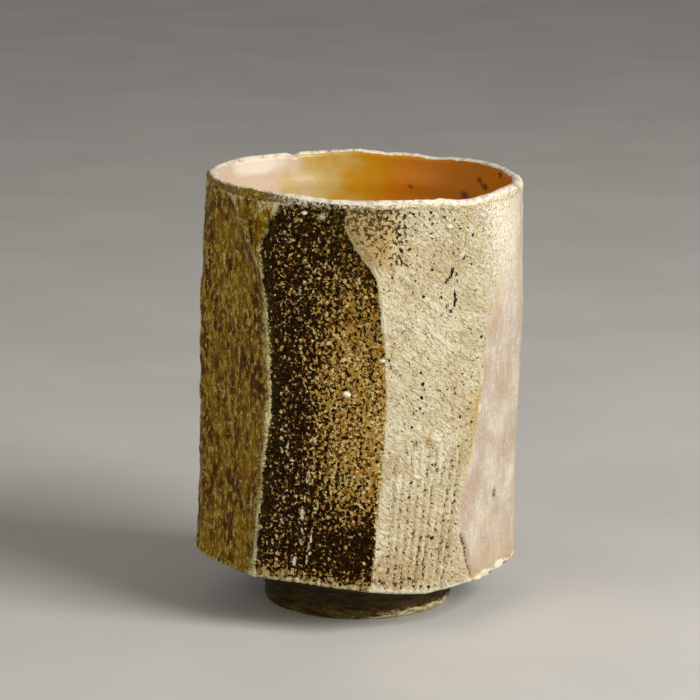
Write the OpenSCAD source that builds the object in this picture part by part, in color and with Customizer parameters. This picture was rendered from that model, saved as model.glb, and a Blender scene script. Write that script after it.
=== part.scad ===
// A faceted stoneware tea cup of the yunomi kind: a thrown clay wall with eight facets cut by
// hand, a small foot ring luted on below, and glaze coats inside, outside and on the lip.
// Millimetres, +Z up. The origin is the centre of the foot ring's standing face.
// The front of the cup faces -Y. Angles around the cup are counted from the front towards +X.

/* [Thrown form] */

// Height of the lip's crest above the table
cup_h = 91.6; // [84:0.1:98]
// Radius of the thrown wall at its lower edge, before the facets are cut
edge_r = 34; // [33:0.1:36]
// Height of the lower edge of the wall
edge_z = 9.8; // [8.5:0.1:11]
// Radius of the thrown wall at the lip
lip_r = 33.1; // [32.6:0.1:34]
// Thickness of the lip, which is rounded over
lip_t = 2.3; // [1.8:0.1:3]
// How far the thrown form leans, in degrees
lean = 1.55; // [0:0.05:2]
// Angle around the cup that it leans towards
lean_angle = 69; // [0:1:359]

// How far the wall swells beyond a straight line between its lower edge and its lip
swell = 0.65; // [0:0.05:1]

/* [Drinking well] */

// Height of the inner floor
floor_z = 11.6; // [10.8:0.1:14]
// Thickness of the thrown wall above the well's rounded corner, before the facets are cut
wall_t = 5.45; // [5:0.05:6.5]
// Radius of the corner between the inner floor and the wall
well_corner_r = 12; // [6:0.5:18]

/* [Facets] */

// How deep an ordinary knife stroke goes into the thrown wall
facet_cut = 2.5; // [2:0.05:2.8]
// How far an ordinary facet is hollow from its middle to the end of the stroke
facet_hollow = 1; // [0.6:0.05:1.2]
// How far inside the lip an ordinary stroke runs out
run_out = 0.3; // [0:0.05:0.5]

/* [Foot ring] */

// Height of the foot ring, up to the seat that it is luted to
foot_h = 6; // [5:0.1:7]
// Outer radius of the foot ring at the table
foot_r = 19.9; // [18:0.1:21]
// Width of the foot ring at the table
foot_w = 4.6; // [3:0.1:6]
// How much the foot ring spreads from the table up to its seat
foot_flare = 0.5; // [0:0.1:1]
// Radius of the rounding on the foot ring's lower edges
foot_round = 0.9; // [0.3:0.1:1.4]

/* [Glaze] */

// Thickness of the glaze coats
glaze_t = 0.4; // [0.3:0.05:0.6]
// How far the lip's crust reaches down from the crest
lip_crust_h = 1.6; // [1.4:0.1:4]

/* [Stones] */

// Radius of the largest stones
stone_r = 1; // [0.7:0.05:1.1]
// Share of a stone's radius that stands out of the surface
stone_out_share = 0.42; // [0.2:0.02:0.6]

/* [Hidden] */

// Each facet, as one stroke of the knife: angle around the cup, share of the ordinary depth,
// share of the ordinary hollow (below zero where the facet is full), how far the stroke opens
// outwards going up against the wall, and how far it is turned out of upright, in degrees.
// Then the place where the stroke runs out below the lip: angle around the cup, share of
// the ordinary distance inside the lip, and slope against the wall in degrees.
FACETS = [
    [-57, 1.1, 1.4, -0.16, 0.9, -66, 1, 10.2],
    [-15, 1.02, 0.95, 0.34, 1.5, -20, 0.17, 11.4],
    [27, 0.68, -0.8, 0.64, 0, 22, 1.67, 8.6],
    [63, 0.76, 1.3, 2.74, -2.8, 60, -1, 9.6],
    [110, 0.88, 1, 0.64, 1.2, 112, 0.67, 9.6],
    [156, 1, 1.4, 1.04, -1, 150, 1, 10.6],
    [203, 0.96, 0.8, 0.34, 0.8, 208, 0.33, 9.6],
    [251.5, 1.08, 1.2, 0.64, -1.2, 248, 1, 10.6]
];
F_ANGLE = 0;
F_DEPTH_SHARE = 1;
F_HOLLOW_SHARE = 2;
F_PITCH = 3;
F_TURN = 4;
F_END_ANGLE = 5;
F_END_SHARE = 6;
F_END_SLOPE = 7;

// Each stone: angle around the cup, share of the cup's height, share of the largest radius.
STONES = [
    [-5, 0.562, 1],
    [30, 0.453, 0.8],
    [22, 0.371, 0.9],
    [-22, 0.966, 0.8],
    [7, 0.644, 0.7],
    [32, 0.939, 0.8]
];
S_ANGLE = 0;
S_HEIGHT_SHARE = 1;
S_SIZE_SHARE = 2;

// The thrown wall: shares of the height from the lower edge to the middle of the lip's
// rounding, and shares of the swell there.
WALL_SHARES = [0, 0.25, 0.45, 0.67, 0.85, 1];
SWELL_SHARES = [0, -0.38, 0.15, 1, 0.38, 0];

// The well: shares of the height from its corner to the middle of the lip's rounding, and
// shares of the way from the wall's thickness to the lip's.
WELL_SHARES = [0, 0.55, 0.8, 0.92, 1];
THINNING_SHARES = [0, 0.2, 0.46, 0.74, 1];

// How far the thrown form stands off the middle of its foot ring
lean_shift_x = -0.8;
lean_shift_y = 0.3;

// The strokes' middle and half length, as shares of the cup's height
stroke_z_share = 0.49;
stroke_half_share = 0.437;

// The cutting blocks, as shares of the cup's radius and height
cut_w_share = 1.06;
cut_deep_share = 0.9;
cut_h_share = 2.6;

cut_fn = 720;
turned_fn = 180;
stone_fn = 48;
hip_r = 20.6;
hip_drop = 3;
core_gap = 1;
overrun = 5;

cut_w = edge_r * cut_w_share;
cut_deep = edge_r * cut_deep_share;
cut_h = cup_h * cut_h_share;
stroke_z = cup_h * stroke_z_share;
stroke_half = cup_h * stroke_half_share;

lip_round = lip_t / 2;
lip_mid_r = lip_r - lip_round;
lip_mid_z = cup_h - lip_round;
well_corner_z = floor_z + well_corner_r;
crust_z = cup_h - lip_crust_h;
hip_slope = (edge_z - foot_h) / (edge_r - hip_r);
taper = atan((lip_r - edge_r) / (lip_mid_z - edge_z));

// Height of a share of the thrown wall
function wall_z(share) = edge_z + share * (lip_mid_z - edge_z);

// Radius of the straight wall between the lower edge and the lip, at any height
function line_r(z) = edge_r + tan(taper) * (z - edge_z);

// Radius of the thrown wall at the swell's place i
function wall_r(i) = line_r(wall_z(WALL_SHARES[i])) + swell * SWELL_SHARES[i];

// Radius of the thrown wall at any height
function thrown_r(z) = lookup(z, [for (i = [0 : len(WALL_SHARES) - 1]) [wall_z(WALL_SHARES[i]), wall_r(i)]]);

// Distance from the axis to a stroke's middle, and to the place where it runs out
function stroke_mid_d(f) = thrown_r(stroke_z) - facet_cut * f[F_DEPTH_SHARE];
function stroke_end_d(f) = lip_r - run_out * f[F_END_SHARE];

// Angle between two directions around the cup
function between(a, b) = abs(((a - b + 540) % 360) - 180);

// Distance of a stroke's surface from the axis, at a height
function stroke_d(f, z) =
    stroke_mid_d(f) + tan(f[F_PITCH] + taper) * (z - stroke_z)
    + facet_hollow * f[F_HOLLOW_SHARE] * pow((z - stroke_z) / stroke_half, 2);

// Distance of the surface where the stroke runs out, at a height
function end_d(f, z) = stroke_end_d(f) + tan(f[F_END_SLOPE] + taper) * (z - cup_h);

// Radius that a facet leaves at an angle around the cup and a height
function facet_r(f, angle, z) =
    max(stroke_d(f, z) / cos(between(f[F_ANGLE], angle)), end_d(f, z) / cos(between(f[F_END_ANGLE], angle)));

// Radius of the finished surface at an angle around the cup and a height
function surface_r(angle, z) =
    min([thrown_r(z), for (f = FACETS) if (between(f[F_ANGLE], angle) < 45) facet_r(f, angle, z)]);

// Outline of the wall from its lower edge to the lip, smaller by inset, closed at the axis
function wall_points(inset) = [
    [edge_r - inset, edge_z - inset * hip_slope],
    for (i = [1 : len(WALL_SHARES) - 1]) [wall_r(i) - inset, wall_z(WALL_SHARES[i])],
    [0, lip_mid_z]
];

// Height of the well's place i, and the wall's thickness there
function well_z(i) = well_corner_z + WELL_SHARES[i] * (lip_mid_z - well_corner_z);
function well_wall_t(i) = wall_t + THINNING_SHARES[i] * (lip_t - wall_t);

// Radius of the well at its place i
function well_r(i) = line_r(well_z(i)) - well_wall_t(i);

// Puts a piece into the frame of the leaning thrown form
module leaning() {
    translate([lean_shift_x, lean_shift_y, 0])
        rotate([0, 0, lean_angle])
            rotate([lean, 0, 0])
                rotate([0, 0, -lean_angle])
                    children();
}

// Half outline of the thrown form, filled to the axis, smaller by inset on the outside
module thrown_outline(inset) {
    underside = [[0, foot_h - hip_drop], [hip_r, foot_h - hip_drop], [hip_r, foot_h]];
    polygon(concat(underside, wall_points(inset)));
}

// The same outline inside the ash glaze, carried straight down below the lower edge
module core_outline() {
    below = [[0, foot_h - hip_drop], [edge_r - glaze_t, foot_h - hip_drop]];
    polygon(concat(below, wall_points(glaze_t)));
}

// Half outline of the drinking well, larger by outset
module well_outline(outset) {
    middle_r = well_r(0) - well_corner_r;
    middle = [[0, floor_z - outset], [middle_r, floor_z - outset], [middle_r, well_corner_z]];
    side = [for (i = [0 : len(WELL_SHARES) - 1]) [well_r(i) + outset, well_z(i)]];
    polygon(concat(middle, side, [[0, lip_mid_z]]));
    translate([middle_r, well_corner_z])
        intersection() {
            circle(r = well_corner_r + outset, $fn = turned_fn);
            translate([0, -well_corner_r - outset])
                square(well_corner_r + outset);
        }
}

// Half outline of the wall and floor, smaller by inset on every glazed face, with the lip rounded
module cup_outline(inset) {
    difference() {
        thrown_outline(inset);
        well_outline(inset);
    }
    translate([lip_mid_r, lip_mid_z])
        circle(r = lip_round - inset, $fn = turned_fn);
}

// Stretch of the half outline between two heights
module stretch(low, high) {
    translate([0, low])
        square([edge_r + overrun, high - low]);
}

// Block that ends at reach beyond the plane y = 0 and fills the outer side of it
module outer_block(reach) {
    translate([-cut_w / 2, reach - cut_deep, -cut_h / 2])
        cube([cut_w, cut_deep, cut_h]);
}

// What one stroke takes away when it goes deeper by inset: hollow, full or flat
module stroke(f, inset) {
    bow = facet_hollow * f[F_HOLLOW_SHARE];
    bow_r = bow == 0 ? 0 : pow(stroke_half, 2) / (2 * abs(bow));
    rotate([0, 0, f[F_ANGLE]])
        translate([0, -stroke_mid_d(f), stroke_z])
            rotate([f[F_PITCH] + taper, 0, 0])
                rotate([0, f[F_TURN], 0])
                    if (bow > 0) {
                        translate([0, -bow_r, 0])
                            rotate([0, 90, 0])
                                cylinder(r = bow_r + inset, h = cut_w, center = true, $fn = cut_fn);
                    } else if (bow < 0) {
                        difference() {
                            outer_block(overrun);
                            translate([0, bow_r, 0])
                                rotate([0, 90, 0])
                                    cylinder(r = bow_r - inset, h = 2 * cut_w, center = true, $fn = cut_fn);
                        }
                    } else {
                        outer_block(inset);
                    }
}

// Everything outside the facets, each deeper by inset, with every stroke running out at the lip
module facet_cuts(inset) {
    for (f = FACETS)
        intersection() {
            stroke(f, inset);
            rotate([0, 0, f[F_END_ANGLE]])
                translate([0, -stroke_end_d(f), cup_h])
                    rotate([f[F_END_SLOPE] + taper, 0, 0])
                        outer_block(inset);
        }
}

// A turned form with its facets cut, deeper by inset
module faceted(inset) {
    difference() {
        rotate_extrude($fn = turned_fn)
            children();
        facet_cuts(inset);
    }
}

// Everything below the level seat of the foot ring
module under_seat() {
    translate([0, 0, foot_h - hip_drop - overrun])
        cylinder(r = edge_r + overrun, h = hip_drop + overrun, $fn = turned_fn);
}

// The stones, which also cut their own pockets
module stone_balls() {
    leaning()
        for (s = STONES) {
            ball_r = stone_r * s[S_SIZE_SHARE];
            ball_z = cup_h * s[S_HEIGHT_SHARE];
            sink = ball_r * (1 - 2 * stone_out_share);
            rotate([0, 0, s[S_ANGLE]])
                translate([0, sink - surface_r(s[S_ANGLE], ball_z), ball_z])
                    rotate([90, 0, 0])
                        sphere(r = ball_r, $fn = stone_fn);
        }
}

// Wall and floor of fired clay
module clay_body() {
    color("saddlebrown")
        difference() {
            leaning()
                faceted(glaze_t)
                    cup_outline(glaze_t);
            under_seat();
            stone_balls();
        }
}

// Ring that the cup stands on, luted to the level seat
module foot_ring() {
    foot_in_r = foot_r - foot_w;
    color("dimgray")
        rotate_extrude($fn = turned_fn) {
            polygon([
                [foot_in_r, foot_round],
                [foot_in_r + foot_round, 0],
                [foot_r - foot_round, 0],
                [foot_r, foot_round],
                [foot_r + foot_flare, foot_h],
                [foot_in_r - foot_flare, foot_h]
            ]);
            for (r = [foot_in_r + foot_round, foot_r - foot_round])
                translate([r, foot_round])
                    circle(r = foot_round, $fn = turned_fn);
        }
}

// Coat of ash glaze on the faceted outside
module ash_glaze() {
    color("beige")
        difference() {
            leaning()
                difference() {
                    faceted(0)
                        intersection() {
                            difference() {
                                thrown_outline(0);
                                well_outline(core_gap);
                            }
                            stretch(edge_z, crust_z);
                        }
                    faceted(glaze_t)
                        core_outline();
                }
            stone_balls();
        }
}

// Coat of glaze in the drinking well
module well_glaze() {
    color("goldenrod")
        leaning()
            rotate_extrude($fn = turned_fn)
                intersection() {
                    difference() {
                        well_outline(glaze_t);
                        well_outline(0);
                    }
                    stretch(0, crust_z);
                }
}

// Pale crust over the crest of the lip
module lip_glaze() {
    color("ivory")
        difference() {
            leaning()
                difference() {
                    faceted(0)
                        intersection() {
                            cup_outline(0);
                            stretch(crust_z, cup_h + overrun);
                        }
                    faceted(glaze_t)
                        cup_outline(glaze_t);
                }
            stone_balls();
        }
}

// Small lumps of feldspar that stand out of the wall
module feldspar_stones() {
    color("white")
        stone_balls();
}

clay_body();
foot_ring();
ash_glaze();
well_glaze();
lip_glaze();
feldspar_stones();
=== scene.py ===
"""A hand-cut, wood-fired yunomi tea cup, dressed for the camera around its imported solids."""

import math
import random
from functools import lru_cache
from statistics import NormalDist

import bmesh
import bpy
import numpy as np
from bpy.props import FloatProperty, FloatVectorProperty, IntProperty, PointerProperty
from mathutils import Matrix, Vector, noise
from mathutils.bvhtree import BVHTree


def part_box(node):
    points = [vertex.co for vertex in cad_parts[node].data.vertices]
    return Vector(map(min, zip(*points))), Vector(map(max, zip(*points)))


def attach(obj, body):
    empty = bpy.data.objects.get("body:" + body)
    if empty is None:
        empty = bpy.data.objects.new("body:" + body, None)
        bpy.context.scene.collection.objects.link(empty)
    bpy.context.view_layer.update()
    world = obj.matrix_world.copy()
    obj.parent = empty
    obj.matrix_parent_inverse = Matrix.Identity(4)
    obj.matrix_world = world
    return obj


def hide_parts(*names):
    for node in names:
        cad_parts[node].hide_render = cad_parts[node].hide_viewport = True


bl_info = {
    "name": "Faceted Yunomi",
    "version": (1, 0, 0),
    "blender": (4, 5, 0),
    "location": "View3D > Sidebar > Yunomi",
    "description": "Dresses a hand-cut tea cup with ash glaze around its packed solids",
    "category": "Add Mesh",
}

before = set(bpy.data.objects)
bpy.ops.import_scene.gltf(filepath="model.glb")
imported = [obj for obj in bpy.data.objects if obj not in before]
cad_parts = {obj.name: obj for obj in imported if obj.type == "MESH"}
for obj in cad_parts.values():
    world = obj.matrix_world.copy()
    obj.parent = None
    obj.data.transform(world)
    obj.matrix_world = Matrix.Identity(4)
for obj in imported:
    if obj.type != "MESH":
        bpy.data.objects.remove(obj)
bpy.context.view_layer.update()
BODY = "root"

# Lengths in this script are millimetres and angles are degrees, unless a name says otherwise.
# The thrown form leans: its pieces are shaped upright about its own axis and then tipped.
MM = 0.001
LEAN = 1.55
LEAN_TOWARDS = 69.0
LEAN_SHIFT = (-0.8, 0.3, 0.0)
LEANING = (
    Matrix.Translation(Vector(LEAN_SHIFT))
    @ Matrix.Rotation(math.radians(LEAN_TOWARDS), 4, "Z")
    @ Matrix.Rotation(math.radians(LEAN), 4, "X")
    @ Matrix.Rotation(math.radians(-LEAN_TOWARDS), 4, "Z")
)
TO_METRES = Matrix.Scale(MM, 4)
TO_WORLD = TO_METRES @ LEANING

# The thrown form: lower edge, hip, lip and well
EDGE_R = 34.0
EDGE_Z = 9.8
HIP_R = 20.6
SEAT_Z = 6.0
HIP_SLOPE = (EDGE_Z - SEAT_Z) / (EDGE_R - HIP_R)
LIP_R = 31.95
LIP_Z = 90.45
LIP_ROUND = 1.15
FLOOR_Z = 11.6
WELL_TURN_Z = 24.0
WALL_TOP_Z = 90.3
UNROLL_R = 33.5

# Steps around the pieces, and the equal sectors that they are spun in
ROUND_STEPS = 300
LIP_STEPS = 600
SECTORS = 20

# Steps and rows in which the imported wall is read, and how far a stone's pocket reaches in balls
READ_STEPS = 480
READ_ROWS = 162
POCKET_REACH = 1.5

# How far the dressed clay stays inside the coats. The well's lining has a thickness, and its end
# stands a little proud of the round of the lip.
CLAY_INSET = 0.5
WELL_THICK = 0.75
WELL_PROUD = 0.09

# The foot ring: how much narrower it is at the table, its width and the round of its corners
FOOT_TAPER = 0.6
FOOT_WIDTH = 4.6
FOOT_TURN = 0.9

# Melted stones are a little smaller and flatter than the balls among the solids
STONE_SHARE = 0.86
STONE_SQUASH = 0.75

# Ash glazes reflect warmly, and melted stones have a thin smooth coat
WARM_GLOSS = (1.0, 0.8, 0.5)
COAT_ROUGHNESS = 0.12

# Ridges between the facets, as points of (azimuth, height). Azimuths are counted from the
# front of the cup towards its right side, heights from the table.
RIDGE_LEFT = (
    (-34.1, 87.5), (-36.5, 83.4), (-39.6, 80.1), (-36.9, 72.0), (-35.3, 63.9),
    (-33.8, 49.3), (-35.8, 34.4), (-37.5, 23.6), (-38.4, 8.5),
)
RIDGE_LEFT_BAND = tuple((azimuth - 1.6, height) for azimuth, height in RIDGE_LEFT[3:])
RIDGE_LEFT_ARM = ((-54.2, 89.4), (-49.3, 84.6), (-44.8, 79.8), (-41.3, 77.5), (-39.0, 76.0))
RIDGE_MIDDLE = (
    (-6.9, 86.5), (-4.4, 83.5), (-0.8, 80.3), (2.8, 77.8), (5.2, 75.4), (6.2, 71.2),
    (7.2, 65.0), (8.6, 50.5), (8.3, 42.2), (7.6, 33.8), (6.6, 25.4), (5.2, 8.5),
)
RIDGE_MIDDLE_RIM = tuple((azimuth + 0.7, height) for azimuth, height in RIDGE_MIDDLE[5:])
RIDGE_RIGHT = (
    (46.0, 90.0), (49.0, 80.0), (50.4, 72.0), (49.9, 65.4), (48.7, 59.6), (48.7, 53.7), (47.0, 48.2),
    (44.6, 40.0), (42.5, 34.9), (41.4, 29.6), (40.2, 26.1), (40.8, 19.0), (43.0, 15.1), (47.0, 8.5),
)
BACK_HEIGHTS = (90.0, 60.0, 30.0, 8.5)
RIDGE_SIDE = tuple(zip((84.5, 86.5, 86.0, 85.0), BACK_HEIGHTS))
RIDGE_BACK_RIGHT = tuple(zip((131.0, 133.5, 133.0, 132.0), BACK_HEIGHTS))
RIDGE_BACK = tuple(zip((178.0, 179.5, 180.0, 181.0), BACK_HEIGHTS))
RIDGE_BACK_LEFT = tuple(zip((229.0, 227.0, 227.5, 228.0), BACK_HEIGHTS))
RIDGE_FAR_LEFT = tuple(zip((275.0, 277.5, 277.0, 276.0), BACK_HEIGHTS))

# Lines on the wall: points, half width and rise, then how pale, ochre and dark each one is.
# Shares that are left out are zero, here and in the spots.
WALL_LINES = (
    (RIDGE_LEFT[:3], 0.4, 0.25, 0.56),
    (RIDGE_LEFT[2:], 0.5, 0.45, 0.52),
    (RIDGE_LEFT_BAND, 1.5, 0.12, 0.44),
    (((-84.0, 82.0), (-85.5, 60.0), (-85.0, 30.0), (-84.5, 8.5)), 0.5, 0.05, 0.7),
    (RIDGE_LEFT_ARM, 1.0, 0.14, 0.6),
    (RIDGE_MIDDLE[:7], 0.38, 0.36, 1.0),
    (RIDGE_MIDDLE_RIM, 0.5, 0.2, 0.42),
    (RIDGE_RIGHT, 0.4, 0.08, 0.2, 0.1),
    (RIDGE_SIDE, 1.0, 0.12, 0.25, 0.3),
    (RIDGE_BACK_RIGHT, 0.7, 0.2, 0.5, 0.3),
    (RIDGE_BACK, 0.8, 0.3, 0.7),
    (RIDGE_BACK_LEFT, 0.7, 0.2, 0.6, 0.2),
    (RIDGE_FAR_LEFT, 0.8, 0.3, 0.7),
    (((24.6, 65.4), (27.6, 63.6), (32.6, 61.4), (37.0, 58.8)), 0.36, 0.34, 1.1),
    (((12.2, 80.6), (14.0, 79.0), (16.4, 78.0)), 0.3, -0.25, 0.0, 0.4, 0.7),
    (((39.2, 87.0), (39.4, 85.3)), 0.22, -0.08, 0.0, 1.0),
    (((38.8, 84.5), (39.3, 82.6), (38.6, 81.2), (37.6, 80.2)), 0.34, -0.14, 0.0, 1.3),
    (((34.4, 81.2), (34.2, 78.5)), 0.26, -0.08, 0.0, 1.1),
    (((46.3, 81.3), (45.1, 79.1)), 0.3, -0.08, 0.0, 1.2),
    (((54.2, 73.8), (54.6, 66.5)), 0.26, -0.08, 0.0, 1.2),
    (((56.0, 71.8), (56.6, 66.7)), 0.26, -0.08, 0.0, 1.2),
    (((51.6, 70.4), (51.9, 67.1)), 0.26, -0.08, 0.0, 1.0),
    (((35.0, 77.1), (34.4, 75.5), (32.0, 74.2)), 0.34, -0.25, 0.0, 0.3, 0.85),
    (((35.7, 72.3), (36.4, 70.6), (35.9, 69.2)), 0.34, -0.25, 0.0, 0.2, 0.85),
    (((32.4, 73.6), (36.6, 71.8)), 0.3, 0.2, 0.7),
    (((51.0, 64.0), (48.3, 53.9), (46.3, 44.0), (43.4, 34.0)), 1.3, 0.0, 0.0, 0.4),
    # A crack low on the right side with a raised step beside it; the ochre and dark in the crack are partly
    # painted shadow of the step
    (((41.4, 20.5), (43.0, 17.8), (44.4, 14.0), (47.6, 10.9)), 0.3, -0.4, 0.0, 0.6, 0.55),
    (((42.4, 20.5), (44.4, 17.8), (45.8, 14.0), (48.6, 11.2)), 0.5, 0.3, 0.3),
    (((27.5, 43.6), (25.9, 40.4)), 0.4, -0.1, 0.0, 0.8),
    (((150.0, 70.0), (158.0, 62.0)), 0.35, -0.18, 0.7),
    (((105.0, 24.0), (108.0, 18.0), (107.0, 12.0)), 0.3, -0.25, 0.0, 0.7, 0.3),
    (((208.0, 82.0), (212.0, 77.0)), 0.3, -0.2, 0.0, 0.4, 0.6),
)

# Spots on the wall: azimuth, height, radius across and up, rise, then pale, ochre and dark
WALL_SPOTS = (
    (-54.0, 84.5, 1.1, 1.0, 0.22, 0.9),
    (-54.0, 84.5, 0.45, 0.45, -0.5, -0.9, 0.0, 0.7),
    (-65.4, 75.5, 0.7, 2.4, 0.08, 0.9),
    (-62.0, 71.0, 0.6, 1.8, 0.05, 0.5),
    (-37.0, 75.0, 1.3, 2.2, 0.15, 0.34),
    (-15.3, 88.0, 1.0, 0.8, 0.25, 1.0),
    (-33.6, 88.8, 1.2, 1.5, 0.1, 0.9),
    (-39.5, 89.0, 1.5, 1.2, 0.1, 0.7),
    (-43.0, 26.0, 1.0, 2.5, 0.0, 0.5),
    (8.4, 81.3, 1.1, 1.1, 0.3, 0.5, 0.0, 0.1),
    (-7.4, 51.3, 0.9, 0.9, -0.2, 0.0, 1.2),
    (-5.6, 49.0, 1.1, 0.5, 0.0, 0.0, 0.0, 0.6),
    (38.0, 80.4, 0.7, 1.6, 0.08, 1.0),
    (48.6, 53.2, 0.8, 2.2, 0.18, 1.0),
    (48.9, 47.0, 0.9, 1.2, 0.15, 1.0),
    (28.4, 42.6, 1.4, 1.0, 0.15, 0.9),
    (31.0, 86.6, 2.0, 1.0, 0.0, 0.0, 0.0, 0.22),
    (25.6, 41.4, 0.6, 0.7, -0.1, 0.0, 0.9),
    (14.6, 33.2, 1.3, 1.8, 0.15, 1.0),
    (20.6, 36.8, 0.45, 4.4, 0.1, 0.9),
    (24.0, 37.0, 0.6, 5.2, 0.12, 1.0),
    (31.4, 38.0, 0.7, 4.6, 0.12, 0.9),
    (36.6, 41.0, 2.4, 2.4, 0.1, 0.6),
    (67.0, 26.4, 1.5, 1.7, -0.1, 0.0, 0.0, 0.52),
    (4.6, 65.0, 0.6, 3.2, 0.0, 0.0, 0.0, 0.5),
    (72.0, 16.0, 9.0, 7.0, 0.0, 0.0, 0.24),
    (62.0, 22.0, 2.2, 4.0, 0.0, 0.0, 0.35),
    (60.0, 14.5, 1.2, 1.6, 0.1, 0.0, 0.5),
    (50.0, 10.4, 3.0, 0.5, 0.0, 0.0, 0.9),
    (6.4, 12.7, 0.6, 0.9, -0.1, 0.0, 0.0, 0.55),
    (9.8, 12.0, 0.9, 0.8, -0.1, 0.0, 0.0, 0.6),
    (14.7, 11.7, 0.7, 0.8, -0.1, 0.0, 0.0, 0.6),
    (17.6, 11.6, 0.7, 0.7, -0.1, 0.0, 0.0, 0.55),
    (22.9, 11.6, 1.0, 0.7, -0.1, 0.0, 0.0, 0.5),
    # A pale stone chip low on the front; the dark spot just above it is a painted shadow on top of the chip
    (8.0, 18.5, 0.55, 0.6, 0.25, 1.4),
    (7.6, 19.4, 0.6, 0.3, -0.1, 0.0, 0.0, 0.7),
    (58.0, 10.5, 2.8, 0.45, 0.0, 1.0),
    (72.0, 10.6, 2.6, 0.6, 0.0, 1.1),
    (92.0, 11.2, 1.6, 1.4, 0.0, 1.1),
    (26.2, 77.1, 0.5, 0.5, -0.2, 0.0, 0.2, 0.8),
    (28.2, 76.6, 1.2, 0.4, -0.1, 0.0, 0.8),
    (29.4, 76.3, 0.5, 0.35, -0.1, 0.0, 0.2, 0.6),
    (34.5, 68.2, 0.6, 0.5, -0.2, 0.0, 0.0, 0.8),
    (26.0, 22.0, 8.0, 8.0, 0.0, 0.0, 0.22),
    (84.0, 38.0, 2.5, 16.0, 0.0, 0.0, 0.3),
    (42.0, 46.5, 4.5, 7.5, -0.05, 0.0, 0.5),
    (165.0, 40.0, 1.2, 1.2, 0.2, 0.8),
    (120.0, 60.0, 0.9, 0.9, 0.2, 0.8),
    (215.0, 30.0, 1.1, 1.1, 0.2, 0.8),
)

# Colours of the fired surfaces: name, use, then red, green and blue as seen on a screen
COLOURS = (
    ("cream", "Ash crust on the front", 226, 219, 188),
    # beige and ochre in the crust's hollows are partly painted shade, and shell on its crests is partly
    # painted highlight
    ("beige", "Hollows of the ash crust", 176, 152, 106),
    ("ochre", "Warm ash crust over the dark melt", 204, 168, 88),
    ("rust", "Reddest grains over the dark melt", 176, 112, 26),
    ("soot", "Dark melt", 20, 13, 6),
    ("moss", "Green parts of the dark melt", 58, 56, 16),
    ("olive", "Runny ash on the left side", 134, 100, 4),
    ("umber", "Brown under the runny ash", 102, 56, 0),
    ("bark", "Darkest brown in the runny ash", 62, 32, 0),
    ("straw", "Brightest grains over the dark melt", 240, 220, 152),
    ("celadon", "Pale runs in the runny ash", 206, 202, 130),
    ("lichen", "Yellow-green mottles in the runny ash", 164, 142, 48),
    ("blush", "Pale pink satin on the right side", 178, 163, 154),
    ("toast", "Flashed clay at the back", 152, 98, 58),
    ("char", "Darker flashing at the back", 84, 54, 36),
    ("shell", "Palest crust on ridges and lip", 240, 232, 206),
    # From petal through wheat and honey to amber, the well's colours are partly the glaze's own and partly
    # painted light on its lit left side and painted shade on its shaded right side
    ("amber", "Glaze in the shaded side of the well", 204, 120, 0),
    ("honey", "Glaze in the middle of the well", 192, 136, 22),
    ("veil", "Palest clouds on the right side", 192, 182, 172),
    ("wheat", "Glaze between the pale side and the middle of the well", 196, 172, 104),
    ("rose", "Pinkish flush low on the front", 186, 150, 106),
    ("smoke", "Violet-brown specks on the lip", 140, 112, 104),
    ("petal", "Glaze in the pale side of the well", 214, 192, 168),
    ("clay", "Bare clay underneath", 74, 60, 46),
    ("glass", "Green glass on the foot ring", 84, 74, 26),
    # feldspar also paints the highlight under the lip in the well
    ("feldspar", "Melted stones", 240, 232, 214),
)

# Drag grooves: left and right azimuth at the top, height of the top, the same at the bottom,
# number of grooves and their depth
GROOVES = (
    (12.4, 42.9, 43.5, 9.5, 36.0, 10.0, 9, 0.38),
    (-23.0, -4.0, 47.0, -30.5, -11.0, 11.0, 7, 0.34),
    (-30.0, -8.0, 88.0, -31.0, -8.0, 56.0, 8, 0.14),
    (140.0, 172.0, 40.0, 137.0, 168.0, 10.0, 9, 0.18),
    (96.0, 126.0, 60.0, 94.0, 124.0, 10.0, 8, 0.1),
)

# Rows of pale dashes on the dark facet: first and last place, pitch and strength
DASH_ROWS = (
    ((-16.7, 42.8), (-23.4, 13.2), 2.4, 0.85),
    ((-12.5, 36.2), (-19.3, 15.6), 2.3, 0.75),
    ((-10.0, 35.6), (-10.5, 30.8), 1.8, 0.75),
    ((-20.8, 86.5), (-25.0, 62.4), 3.1, 0.6),
    ((-16.5, 85.5), (-20.8, 61.5), 2.9, 0.55),
    ((-27.0, 40.0), (-30.5, 14.0), 3.4, 0.6),
)

# Spots on the glaze of the well: azimuth, height and radius
WELL_SPOTS = (
    (109.5, 90.2, 0.8), (125.6, 88.3, 0.6), (120.7, 87.0, 0.9), (133.2, 84.2, 1.1), (160.0, 84.5, 0.5),
)

# Azimuths at which the crust of the lip is worn
LIP_WEAR = (19.0, 74.0, 124.0, -166.0, -151.0, -118.0, -62.0)

# How far the hand-cut lower edge rises above its mean height, as (azimuth, height)
EDGE_LIFTS = (
    (-180.0, 0.0), (-120.0, 0.4), (-63.0, 1.4), (-37.0, 1.6), (-19.0, 1.8), (-3.0, 1.3), (12.0, 0.4),
    (29.0, -0.3), (45.0, 0.6), (57.0, 0.1), (100.0, 0.3), (180.0, 0.0),
)


def display(red, green, blue):
    """A colour given as it is seen on a screen, from 0 to 255, as the linear one that shaders use."""
    return tuple(((value / 255 + 0.055) / 1.055) ** 2.4 for value in (red, green, blue))


def length_prop(name, description, default):
    """A length in millimetres that a user may change."""
    return FloatProperty(name=name, description=description, default=default, unit="NONE")


def colour_prop(name, description, *seen):
    """A colour that a user may change."""
    return FloatVectorProperty(
        name=name, description=description, default=display(*seen), subtype="COLOR", size=3, min=0, max=1
    )


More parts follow.
